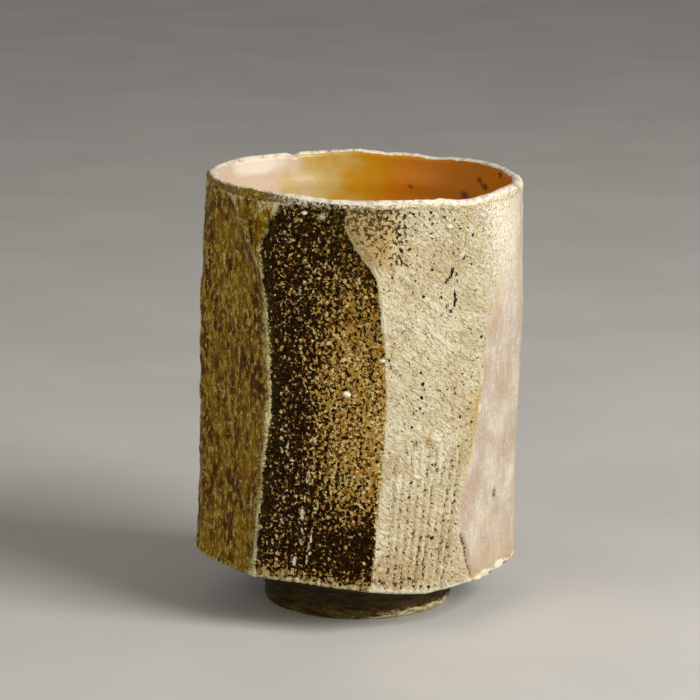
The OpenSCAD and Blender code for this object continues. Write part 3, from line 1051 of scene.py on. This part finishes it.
def soot_share(azimuth, height, past_left, past_middle):
    """Share of the wall where the dark melt shows, on the dark facet and beside it."""
    right_part = ramp(azimuth, -24.0, -3.0) * ramp(height, 20.0, 36.0) * ramp(height, 86.0, 64.0)
    share = 0.9 - 0.59 * right_part
    share = share + 0.12 * hill(azimuth, -9.0, 5.0) * hill(height, 72.0, 9.0)
    share = share + 0.16 * hill(azimuth, 2.0, 4.0) * ramp(height, 58.0, 66.0)
    share = share + 0.2 * hill(azimuth, -1.0, 8.0) * hill(height, 15.0, 9.0)
    share = share + 0.1 * hill(past_left, 1.2, 1.2)
    on_facet = ramp(past_left, -0.3, 0.3) * ramp(past_middle, 0.2, -0.2)
    bare_corner = 0.2 * ramp(azimuth, 22.0, 10.0) * ramp(height, 76.0, 80.0) + 0.1 * ramp(height, 84.0, 89.0)
    bare_corner = bare_corner + 0.35 * ramp(azimuth, 16.0, 2.0) * ramp(height, 82.0, 87.0)
    elsewhere = 0.026 + np.where(azimuth > -45.0, bare_corner * ramp(azimuth, 40.0, 25.0), 0.0)
    elsewhere = elsewhere + 0.03 * hill(azimuth, 24.0, 16.0) * ramp(height, 32.0, 16.0)
    return np.clip(on_facet * share + (1.0 - on_facet) * elsewhere, 0.004, 0.97)


def coat_outline(rows, depth):
    """Outline of the ash coat: its outside, a roll under the lower edge, and its hidden back."""
    outside = [(EDGE_R, z) for z in np.linspace(WALL_TOP_Z, EDGE_Z + 0.7, rows)]
    roll = (
        (0.05, -0.35), (0.2, -0.05), (0.5, 0.2), (0.9, 0.38),
        (1.4, 0.54), (2.0, 0.66), (2.4, 0.5), (1.7, -0.1),
    )
    under = [(EDGE_R - inward, EDGE_Z - drop) for inward, drop in roll]
    back = [(EDGE_R - depth, z) for z in np.linspace(EDGE_Z + 1.2, WALL_TOP_Z - 0.4, 9)]
    return outside + under + back


def coat_zones(azimuth, height):
    """How runny, blushing and flashed the coat is, and how far each point is on the left facet."""
    runny_a = facet(azimuth, height, RIDGE_FAR_LEFT, RIDGE_LEFT)
    runny_b = facet(azimuth, height, RIDGE_BACK_LEFT, RIDGE_FAR_LEFT)
    runny_c = facet(azimuth, height, RIDGE_BACK, RIDGE_BACK_LEFT)
    border = 2.4 + 7.0 * ramp(height, 54.0, 74.0)
    blush_a = side(azimuth, height, RIDGE_RIGHT, border) * (1.0 - side(azimuth, height, RIDGE_SIDE))
    blush_b = facet(azimuth, height, RIDGE_SIDE, RIDGE_BACK_RIGHT)
    back = facet(azimuth, height, RIDGE_BACK_RIGHT, RIDGE_BACK)
    runny = runny_a + 0.85 * runny_b + 0.4 * runny_c
    blush = blush_a + 0.55 * blush_b
    toast = (0.1 + 0.75 * ramp(azimuth, 92.0, 130.0)) * blush_b
    toast = toast + 0.95 * back + 0.75 * runny_c + 0.18 * runny_b
    return runny, blush, toast, runny_a


def coat_relief(azimuth, height, above, points, sizes):
    """Relief of the ash coat in mm, and the masks that its finish reads. Above is from the lower edge."""
    past_left = past_line(azimuth, height, RIDGE_LEFT)
    past_middle = past_line(azimuth, height, RIDGE_MIDDLE)
    runny, blush, toast, left_facet = coat_zones(azimuth, height)
    crusted = unit(1.0 - runny - blush - toast)

    swell = grain_noise(points, 14.0, 1)
    patch = grain_noise(points, 4.5, 2)
    small = grain_noise(points, 1.5, 3)
    across = np.radians(azimuth) * UNROLL_R
    slant = math.radians(38.0)
    along = across * math.cos(slant) - height * math.sin(slant)
    over = across * math.sin(slant) + height * math.cos(slant)
    peel = drawn_noise(along / 1.9, over / 0.8, swell, 4)
    runs = drawn_noise(across / 1.3, height / 6.0, swell, 5)
    creases = drawn_noise(along / 7.5, over / 1.5, 0.6 * swell, 8)
    creases = unit(1.8 * creases - 0.55) * crusted * ramp(height, 34.0, 46.0) * ramp(height, 88.0, 80.0)
    relief = sizes.sway * (0.6 * swell + 0.4 * patch)
    relief += sizes.grain * (crusted * (0.55 * peel + 0.3 * small) + runny * 0.5 * runs + 0.12 * small)
    relief += 0.3 * creases * (past_middle > 0.5)

    depth, crest = groove_field(azimuth, height, 11)
    relief -= depth
    dashes = unit(0.5 + 1.1 * grain_noise(points, 2.6, 7))
    pale = 0.7 * crest * dashes * ramp(azimuth, 4.0, 9.0) * ramp(height, 52.0, 44.0)
    pale += 0.5 * crest ** 2 * dashes * hill(azimuth, -18.0, 10.0) * ramp(height, 46.0, 40.0)
    ochre = 0.55 * unit(depth / 0.2) * ramp(azimuth, 8.0, 14.0)
    dark = np.zeros(len(azimuth))
    broken = np.clip(1.0 + 0.45 * small + 0.25 * patch, 0.3, 1.6)
    for line, half, rise_mm, *shares in WALL_LINES:
        near = hill(line_gap(azimuth, height, line), 0.0, half * (1.0 + 0.35 * patch))
        relief += rise_mm * near * broken
        for mark, share in zip((pale, ochre, dark), shares):
            mark += share * near
    for middle, z, wide, tall, rise_mm, *shares in WALL_SPOTS + dash_spots():
        near = hill(arc(azimuth, middle), 0.0, wide) * hill(height, z, tall)
        relief += rise_mm * near
        for mark, share in zip((pale, ochre, dark), shares):
            mark += share * near

    # Lower edge: a bead of ash, chipped on the right side
    bead = hill(above, 0.3, 1.3)
    right_side = facet(azimuth, height, RIDGE_RIGHT, RIDGE_BACK_RIGHT)
    chips = unit(2.2 * grain_noise(points, 2.8, 6)) * right_side
    relief += 0.22 * bead * (1.0 + 0.5 * small) - 0.5 * bead * chips
    low_band = ramp(above, 2.4 + 1.2 * patch + 0.5 * small, 0.6)
    tall_band = ramp(above, 7.5 - 3.5 * ramp(azimuth, -36.0, 4.0) + 1.5 * patch, 0.8)
    rim_line = hill(above, 0.2, 0.5) * facet(azimuth, height, RIDGE_MIDDLE, RIDGE_BACK_RIGHT)
    on_dark = facet(azimuth, height, RIDGE_LEFT, RIDGE_MIDDLE)
    pale += 0.22 * low_band * (1.0 - 0.3 * runny) + 0.9 * hill(above, 0.3, 0.6) * chips
    pale += 0.8 * rim_line + 0.35 * hill(above, 0.2, 0.6) * (runny + on_dark)

    # Top: cream ash that ran down a little from the lip
    drips = ramp(height, 87.8 + 1.3 * patch + 1.2 * small - 2.0 * unit(runs) * runny, 90.0)
    streaky = 1.0 - 0.7 * runny * (1.0 - unit(0.5 + 1.4 * runs))
    pale += streaky * (drips * (0.3 + 0.3 * runny) + 0.2 * ramp(height, 89.2, 90.2))
    share = soot_share(azimuth, height, past_left, past_middle)
    bell = NormalDist()
    level = np.array([bell.inv_cdf(value) for value in share])
    level += (3.6 * depth - 0.3 * crest) * (1.0 - runny)
    level -= (1.0 * low_band + 1.2 * tall_band) * on_dark
    warm = ramp(past_middle, 0.25, -0.25) * (0.35 + 0.6 * ramp(azimuth, -26.0, -8.0))
    corner = ramp(past_middle, -0.2, 0.2) * ramp(height, 75.0, 80.0) * ramp(azimuth + 4.0 * patch, 27.0, 2.0)
    green = hill(past_left, 0.4, 1.5) * (0.55 + 0.45 * ramp(height, 52.0, 62.0))
    green += 0.7 * hill(azimuth, -1.0, 6.0) * ramp(height, 58.0, 68.0) + 0.3 * ramp(height, 84.0, 88.0)
    green += 0.5 * corner * (azimuth > -45.0) + 0.7 * hill(azimuth, -9.0, 7.0) * ramp(height, 74.0, 84.0)
    ochre += 0.78 * corner * (azimuth > -45.0)
    rosy = 0.75 * hill(azimuth, 11.0, 9.0) * ramp(height, 22.0, 11.0) + 0.55 * ramp(height, 30.0, 10.0)
    rosy += 0.6 * hill(azimuth, 10.0, 5.0) * hill(height, 77.0, 3.0)
    browner = hill(past_left, -3.8, 2.2) * (0.45 + 0.55 * hill(height, 66.0, 14.0))
    browner += 0.7 * hill(azimuth, -84.0, 7.0)
    rosy = rosy * (1.0 - runny) + browner * left_facet
    leafy = (0.9 * low_band + 0.5 * tall_band + 0.5 * drips) * on_dark
    feathered = ramp(height, 62.0, 84.0) * ramp(azimuth, 82.0, 62.0)
    masks = {
        "tints": (unit(rosy), unit(leafy), feathered),
        "zones": (unit(runny), unit(blush), unit(toast)),
        "ash": (level, unit(warm), unit(green)),
        "marks": (unit(pale), unit(ochre), unit(dark)),
    }
    return relief, masks


def stone_places():
    """Azimuth, height, radius from the axis and ball radius of each stone among the solids."""
    bm = solids_of(["feldspar_stones"])
    places = []
    left = set(bm.verts)
    while left:
        reached = {min(left, key=lambda v: v.index)}
        edge = set(reached)
        while edge:
            edge = {e.other_vert(v) for v in edge for e in v.link_edges} - reached
            reached |= edge
        left -= reached
        spots = np.array([v.co for v in sorted(reached, key=lambda v: v.index)])
        middle = (spots.min(0) + spots.max(0)) / 2
        ball = (spots[:, 2].max() - spots[:, 2].min()) / 2
        azimuth = math.degrees(math.atan2(middle[0], -middle[1]))
        places.append((azimuth, middle[2], math.hypot(middle[0], middle[1]), ball))
    bm.free()
    return places


@lru_cache(maxsize=1)
def sound_wall():
    """The outside of the coats, with the stones' pockets filled and its ridges softened."""
    nodes = ["ash_glaze", "lip_glaze", "clay_body"]
    wall = Sounding(nodes, EDGE_Z + 0.15, WALL_TOP_Z, READ_STEPS, READ_ROWS)
    for azimuth, height, _, ball in stone_places():
        wall.fill_pocket(azimuth, height, POCKET_REACH * ball)
    wall.soften(1)
    height, azimuth = np.mgrid[0:len(wall.grid), 0:wall.steps]
    height = wall.low + wall.gap * height
    azimuth = azimuth * 360.0 / wall.steps
    # The arm of the left ridge melts into the wall
    wall.soften(24, around(azimuth, -51.0, 12.0) * ramp(height, 74.0, 80.0))
    return wall


class YUNOMI_OT_coat(bpy.types.Operator):
    """Make the coat of natural ash on the faceted outside"""

    bl_idname = "yunomi.coat"
    bl_label = "Ash Coat"

    def execute(self, context):
        sizes = context.scene.yunomi_sizes
        bm = spun(coat_outline(sizes.coat_rows, sizes.coat_depth), sizes.coat_steps, True)
        azimuth, radius, height = read_rings(bm)
        wall = sound_wall()
        above = height - EDGE_Z
        shift = edge_lift(azimuth) - (EDGE_R - wall.radius(azimuth, EDGE_Z)) * HIP_SLOPE
        height = height + shift * ramp(above, 12.0, 0.0)
        surface = wall.radius(azimuth, height)
        relief, masks = coat_relief(azimuth, height, above, wall_points(azimuth, surface, height), sizes)
        shown = ramp(radius, EDGE_R - 2.0, EDGE_R - 0.5)
        place_verts(bm, wall_points(azimuth, surface + (radius - EDGE_R) + relief * shown, height))
        finish = ash_finish(context.scene.yunomi_colours)
        finished("ash_coat", bm, finish, "ash_glaze", masks)
        return {"FINISHED"}


def well_shade(azimuth):
    """How far each azimuth is turned to the amber side of the well. The amber side is partly painted shade,
    and the pale side is partly painted light.
    """
    return 0.5 + 0.5 * np.sin(np.radians(azimuth - 20.0))


class YUNOMI_OT_lip(bpy.types.Operator):
    """Make the pale crust over the crest of the lip"""

    bl_idname = "yunomi.lip"
    bl_label = "Lip Crust"

    def execute(self, context):
        sizes = context.scene.yunomi_sizes
        proud = LIP_ROUND + sizes.lip_crust
        over = []
        for t in np.linspace(0, math.pi, 19):
            ball = proud - 0.35 * float(ramp(t, 0.76 * math.pi, 0.96 * math.pi))
            over.append((LIP_R + ball * math.cos(t), LIP_Z + ball * math.sin(t)))
        skirting = ((0.7, 1.0), (0.3, 0.6), (0.08, 0.3))
        outside = [(LIP_R + proud - inward, LIP_Z - drop) for inward, drop in skirting]
        inside = [(LIP_R - 0.8, LIP_Z - 0.4), (LIP_R - 0.7, LIP_Z - 0.8)]
        hidden = [(LIP_R - 0.5, LIP_Z - 1.0), (LIP_R + 0.5, LIP_Z - 1.0)]
        bm = spun(outside + over + inside + hidden, LIP_STEPS, True)
        azimuth, radius, height = read_rings(bm)
        top = sound_wall().radius(azimuth, LIP_Z - 1.0)
        radius = radius + (top - LIP_R - LIP_ROUND) * ramp(radius, LIP_R - 0.3, LIP_R + 0.6)
        points = wall_points(azimuth, radius, height)
        raised, quick, slow = crest_rise(azimuth, sizes.lip_wave)
        left = ramp(azimuth, -22.0, -38.0) + ramp(azimuth, 150.0, 170.0)
        skirt = ramp(height, LIP_Z + 0.8 + 0.65 * left, LIP_Z + 0.3 + 0.6 * left)
        skirt = skirt * ramp(radius, LIP_R, LIP_R + 0.4)
        lumps = grain_noise(points, 1.3, 23)
        level = height
        lifted = ramp(height, LIP_Z - 1.2, LIP_Z + 0.6)
        border = ramp(height, LIP_Z - 0.2, LIP_Z - 1.0)
        height = height + raised * lifted - border * (0.4 * quick + 0.3 * slow)
        outward = np.sign(radius - LIP_R)
        radius = radius + outward * 0.1 * lumps * (1.0 - 0.5 * border) + 0.1 * quick
        inner = ramp(level, LIP_Z + 1.0, LIP_Z + 0.6) * (radius < LIP_R)
        worn = 0.2 * unit(quick + slow)
        for middle in LIP_WEAR:
            worn = worn + 0.75 * around(azimuth, middle, 5.0)
        masks = {
            "marks": (inner, unit(worn), skirt),
            "tones": (well_shade(azimuth), hill(azimuth, -14.0, 20.0), left),
        }
        place_verts(bm, wall_points(azimuth, radius, height + 0.05 * lumps * lifted))
        finish = crust_finish(context.scene.yunomi_colours)
        finished("lip_crust", bm, finish, "lip_glaze", masks)
        return {"FINISHED"}


class YUNOMI_OT_well(bpy.types.Operator):
    """Make the glaze lining of the drinking well"""

    bl_idname = "yunomi.well"
    bl_label = "Well Lining"

    def well_outline(self):
        """Outline of the lining's surface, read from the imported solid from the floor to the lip."""
        tree = tree_of(["well_glaze"])
        outline = []
        for fall in np.radians(np.linspace(-90.0, 0.0, 46)):
            outward = Vector((0.0, -math.cos(fall), math.sin(fall)))
            place = tree.ray_cast(Vector((0.0, 0.0, WELL_TURN_Z)), outward)[0]
            outline.append((max(0.0, -place.y), place.z))
        for z in np.linspace(WELL_TURN_Z + 1.2, WALL_TOP_Z - 0.9, 56):
            outline.append((-tree.ray_cast(Vector((0.0, 0.0, z)), Vector((0.0, -1.0, 0.0)))[0].y, z))
        # It ends on the inner side of the lip, just proud of it
        ball = LIP_ROUND + WELL_PROUD
        for t in np.linspace(math.pi, 0.76 * math.pi, 7):
            outline.append((LIP_R + ball * math.cos(t), LIP_Z + ball * math.sin(t)))
        return outline

    def execute(self, context):
        sizes = context.scene.yunomi_sizes
        surface = self.well_outline()
        back = surface[::-1]
        hidden = [(r + WELL_THICK, z) for r, z in back if z > WELL_TURN_Z][::6]
        base = [(r + WELL_THICK * r / LIP_R, z - WELL_THICK) for r, z in back if z <= WELL_TURN_Z][::4]
        bm = spun(surface + hidden + base + [(0.0, FLOOR_Z - WELL_THICK)], ROUND_STEPS, False)
        azimuth, radius, height = read_rings(bm)
        points = wall_points(azimuth, radius, height)
        slow = grain_noise(points, 12.0, 31)
        small = grain_noise(points, 2.5, 32)
        spiral = np.sin(math.tau * (height / 5.4 + azimuth / 360.0)) * ramp(height, 16.0, 24.0)
        fade = ramp(radius, 1.0, 5.0)
        inwards = sizes.throwing * (spiral + 0.8 * slow) * fade * ramp(height, 90.0, 84.0)
        inwards = inwards + 0.03 * small * fade
        raised = crest_rise(azimuth, sizes.lip_wave)[0] * ramp(height, LIP_Z - 1.2, LIP_Z + 0.6)
        spots = np.zeros(len(azimuth))
        for middle, z, wide in WELL_SPOTS:
            spots += hill(arc(azimuth, middle, LIP_R), 0.0, 2.0 * wide) * hill(height, z, wide)
        pool = ramp(height, 16.0, FLOOR_Z) * ramp(radius, 22.0, 8.0)
        # Painted highlight under the lip at the back left of the well
        painted_highlight = around(azimuth, -130.0, 17.0) * ramp(height, 86.8, 89.6)
        # Painted light and shade in the well: paler on the lit left side, amber on the shaded right side,
        # and more amber lower down on that side
        shade = well_shade(azimuth)
        shade = shade + 0.1 * ramp(height, 86.0, 74.0) * ramp(shade, 0.4, 0.7)
        masks = {"tones": (shade, unit(spots), pool), "painted_highlight_mask": (painted_highlight,)}
        radius = np.maximum(radius - inwards, 0.0)
        place_verts(bm, wall_points(azimuth, radius, height + 0.06 * slow * fade + raised))
        finish = well_finish(context.scene.yunomi_colours)
        finished("well_lining", bm, finish, "well_glaze", masks)
        return {"FINISHED"}


class YUNOMI_OT_clay(bpy.types.Operator):
    """Make the clay body, which shows on the hip and inside the foot ring"""

    bl_idname = "yunomi.clay"
    bl_label = "Clay Body"

    def execute(self, context):
        skin_r = EDGE_R - CLAY_INSET
        under = [(r, SEAT_Z - 1.0) for r in np.linspace(0.0, HIP_R, 26)]
        hip = [(r, SEAT_Z + (r - HIP_R) * HIP_SLOPE) for r in np.linspace(HIP_R, skin_r, 34)]
        outside = [(skin_r, z) for z in np.linspace(EDGE_Z + 2.0, WALL_TOP_Z - 0.6, 12)]
        top = [(LIP_R, LIP_Z - 0.1)]
        inside = [(30.6, z) for z in (LIP_Z - 2.0, 70.0, 50.0, 36.0)]
        floor = [(29.0, 26.0), (27.0, 18.0), (20.0, 12.0), (12.0, FLOOR_Z - 0.5), (0.0, FLOOR_Z - 0.5)]
        bm = spun(under + hip + outside + top + inside + floor, ROUND_STEPS, False)
        azimuth, radius, height = read_rings(bm)
        wall = sound_wall()
        edge_r = wall.radius(azimuth, EDGE_Z)
        is_hip = (height < EDGE_Z) & (radius >= HIP_R - 0.01)
        squeeze = (edge_r - CLAY_INSET - HIP_R) / (skin_r - HIP_R)
        radius = np.where(is_hip, HIP_R + (radius - HIP_R) * squeeze, radius)
        slope = HIP_SLOPE + edge_lift(azimuth) / (edge_r - HIP_R)
        height = np.where(is_hip & (height > SEAT_Z), SEAT_Z + (radius - HIP_R) * slope, height)
        is_outside = (np.abs(radius - skin_r) < 0.01) & (height > EDGE_Z)
        radius = np.where(is_outside, wall.radius(azimuth, height) - CLAY_INSET, radius)
        points = wall_points(azimuth, radius, height)
        slow = grain_noise(points, 9.0, 41)
        small = grain_noise(points, 1.6, 42)
        tool = np.sin(math.tau * (radius / 2.3 + azimuth / 120.0)) * is_hip
        height = height + np.where(is_hip, 0.12 * slow + 0.06 * small + 0.05 * tool, 0.0)
        place_verts(bm, wall_points(azimuth, radius, height))
        bmesh.ops.transform(bm, matrix=LEANING, verts=bm.verts)
        for vert, lump in zip(bm.verts, 0.12 * slow + 0.06 * small):
            vert.co.z = max(vert.co.z, SEAT_Z + (lump if vert.co.xy.length < HIP_R - 6.0 else 0.0))
        masks = {"tones": (ramp(radius, HIP_R - 1.0, HIP_R + 2.0),)}
        finish = clay_finish(context.scene.yunomi_colours)
        finished("clay_wall", bm, finish, "clay_body", masks, TO_METRES)
        return {"FINISHED"}


class YUNOMI_OT_foot(bpy.types.Operator):
    """Make the foot ring that the cup stands on"""

    bl_idname = "yunomi.foot"
    bl_label = "Foot Ring"

    def execute(self, context):
        sizes = context.scene.yunomi_sizes
        low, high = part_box("foot_ring")
        outer_r = (high.x - low.x) / 2 / MM
        foot_r = outer_r - FOOT_TAPER
        inner_r = foot_r - FOOT_WIDTH
        turn = FOOT_TURN
        outside = [
            (outer_r - (outer_r - foot_r) * t, SEAT_Z * (1 - t) + turn * t) for t in np.linspace(0, 1, 16)
        ]
        corner = [
            (foot_r - turn + turn * math.cos(t), turn - turn * math.sin(t))
            for t in np.linspace(0.2, math.pi / 2, 7)
        ]
        flat = [(r, 0.0) for r in np.linspace(foot_r - turn, inner_r + turn, 7)[1:-1]]
        corner_in = [
            (inner_r + turn - turn * math.sin(t), turn - turn * math.cos(t)) for t in np.linspace(0, 1.4, 7)
        ]
        inside = [(inner_r - 0.5 * t, turn + (SEAT_Z - turn) * t) for t in np.linspace(0.1, 1, 12)]
        top = [(inner_r + 1.0, SEAT_Z + 0.35), (outer_r - 0.8, SEAT_Z + 0.35)]
        bm = spun(outside + corner + flat + corner_in + inside + top, ROUND_STEPS, True)
        azimuth, radius, height = read_rings(bm)
        points = wall_points(azimuth, radius, height)
        slow = grain_noise(points, 7.0, 51)
        small = grain_noise(points, 1.4, 52)
        wave = grain_noise(wall_points(azimuth, foot_r, 0.0), 5.0, 53)
        is_out = ramp(radius, foot_r - 1.5, foot_r - 0.4)
        band = hill(height, 1.5 + 0.5 * wave, 0.75)
        band = band - 0.5 * hill(height, 3.1, 0.7) + 0.4 * hill(height, 4.6, 0.5)
        radius = radius + is_out * sizes.foot_wear * (0.9 * band + 0.4 * slow + 0.3 * small)
        radius = radius + (1.0 - is_out) * 0.08 * slow * ramp(radius, foot_r - 2.0, inner_r)
        height = height + 0.1 * (np.abs(small) + np.abs(wave)) * ramp(height, 0.6, 0.1)
        glassy = is_out * ramp(height, 3.0 + wave, 1.2) * (0.35 + 0.65 * around(azimuth, 2.0, 26.0))
        worn = 0.45 * ramp(height, 0.9, 0.25) * (1.0 + slow)
        worn += 1.2 * is_out * around(azimuth, 48.0, 34.0) * hill(height, 0.9, 1.1)
        flame = is_out * around(azimuth, 32.0, 12.0) * hill(height, 2.8, 1.0)
        masks = {"tones": (glassy, unit(worn), flame)}
        place_verts(bm, wall_points(azimuth, radius, height))
        finish = foot_finish(context.scene.yunomi_colours)
        finished("foot", bm, finish, "foot_ring", masks, TO_METRES)
        return {"FINISHED"}


class YUNOMI_OT_feldspar(bpy.types.Operator):
    """Make the small lumps of melted feldspar"""

    bl_idname = "yunomi.feldspar"
    bl_label = "Feldspar Lumps"

    def execute(self, context):
        bm = bmesh.new()
        for number, (azimuth, height, radius, ball) in enumerate(stone_places()):
            angle = math.radians(azimuth)
            middle = Vector((radius * math.sin(angle), -radius * math.cos(angle), height))
            made = bmesh.ops.create_icosphere(bm, subdivisions=4, radius=ball)
            for vert in made["verts"]:
                lump = noise.noise(vert.co * 1.1 + Vector((number * 7.7, 0.0, 0.0)))
                finer = noise.noise(vert.co * 3.2 + Vector((0.0, number * 5.3, 0.0)))
                vert.co *= 1.0 + 0.3 * lump + 0.12 * finer
                vert.co.z *= STONE_SQUASH
                vert.co *= STONE_SHARE
                vert.co += middle
        finish = feldspar_finish(context.scene.yunomi_colours)
        finished("feldspar_lumps", bm, finish, "feldspar_stones")
        return {"FINISHED"}


class YUNOMI_OT_stage(bpy.types.Operator):
    """Make the floor, the lights and the camera"""

    bl_idname = "yunomi.stage"
    bl_label = "Stage"

    def area_light(self, name, power, size, place, aim, colour):
        """Adds a soft square light that shines at a point. Size and places are in metres."""
        lamp = bpy.data.lights.new(name, "AREA")
        lamp.energy = power
        lamp.size = size
        lamp.color = colour
        light = bpy.data.objects.new(name, lamp)
        bpy.context.collection.objects.link(light)
        light.location = place
        light.rotation_euler = (Vector(aim) - Vector(place)).to_track_quat("-Z", "Y").to_euler()

    def execute(self, context):
        stage = context.scene.yunomi_stage
        floor_half = 6.0
        bm = bmesh.new()
        bmesh.ops.create_grid(bm, x_segments=4, y_segments=4, size=floor_half)
        mesh = bpy.data.meshes.new("floor")
        bm.to_mesh(mesh)
        bm.free()
        mesh.materials.append(floor_finish(stage.floor))
        floor = bpy.data.objects.new("floor", mesh)
        bpy.context.collection.objects.link(floor)

        aim = (0.0, 0.0, 0.05)
        self.area_light("key", stage.key, 0.5, (0.64, -0.42, 0.52), aim, (1.0, 0.97, 0.92))
        self.area_light("fill", stage.fill, 0.8, (-0.7, -0.6, 0.45), aim, (1.0, 0.95, 0.86))
        world = bpy.data.worlds.new("pale_surroundings")
        world.use_nodes = True
        world.node_tree.nodes["Background"].inputs["Color"].default_value = (1.0, 0.97, 0.92, 1.0)
        world.node_tree.nodes["Background"].inputs["Strength"].default_value = stage.sky
        context.scene.world = world
        context.scene.view_settings.view_transform = "Standard"

        camera = bpy.data.objects.new("camera", bpy.data.cameras.new("camera"))
        bpy.context.collection.objects.link(camera)
        tilt = math.radians(stage.elevation)
        reach = stage.distance * MM
        height = stage.aim_z * MM + reach * math.sin(tilt)
        camera.location = (stage.aim_x * MM, -reach * math.cos(tilt), height)
        camera.rotation_euler = (math.radians(90.0) - tilt, 0.0, 0.0)
        camera.data.lens = stage.lens
        camera.data.sensor_width = 36.0
        camera.data.clip_start = 0.05
        context.scene.camera = camera
        return {"FINISHED"}


PIECES = (
    YUNOMI_OT_clay, YUNOMI_OT_foot, YUNOMI_OT_coat, YUNOMI_OT_well, YUNOMI_OT_lip,
    YUNOMI_OT_feldspar, YUNOMI_OT_stage,
)


class YUNOMI_PT_panel(bpy.types.Panel):
    """Lists the cup's sizes, colours and pieces"""

    bl_idname = "YUNOMI_PT_panel"
    bl_label = "Yunomi"
    bl_space_type = "VIEW_3D"
    bl_region_type = "UI"
    bl_category = "Yunomi"

    def draw(self, context):
        for group in (context.scene.yunomi_sizes, context.scene.yunomi_colours, context.scene.yunomi_stage):
            box = self.layout.box()
            for name in group.__annotations__:
                box.prop(group, name)
        for piece in PIECES:
            self.layout.operator(piece.bl_idname)


CLASSES = (YunomiSizes, YunomiColours, YunomiStage, *PIECES, YUNOMI_PT_panel)


def register():
    """Registers the classes and gives each scene its settings."""
    for cls in CLASSES:
        bpy.utils.register_class(cls)
    bpy.types.Scene.yunomi_sizes = PointerProperty(type=YunomiSizes)
    bpy.types.Scene.yunomi_colours = PointerProperty(type=YunomiColours)
    bpy.types.Scene.yunomi_stage = PointerProperty(type=YunomiStage)


def unregister():
    """Takes the settings and classes away again."""
    del bpy.types.Scene.yunomi_stage
    del bpy.types.Scene.yunomi_colours
    del bpy.types.Scene.yunomi_sizes
    for cls in reversed(CLASSES):
        bpy.utils.unregister_class(cls)


def main():
    """Builds every piece in order."""
    register()
    bpy.ops.yunomi.stage()
    bpy.ops.yunomi.clay()
    bpy.ops.yunomi.foot()
    bpy.ops.yunomi.coat()
    bpy.ops.yunomi.well()
    bpy.ops.yunomi.lip()
    bpy.ops.yunomi.feldspar()


if __name__ == "__main__":
    main()
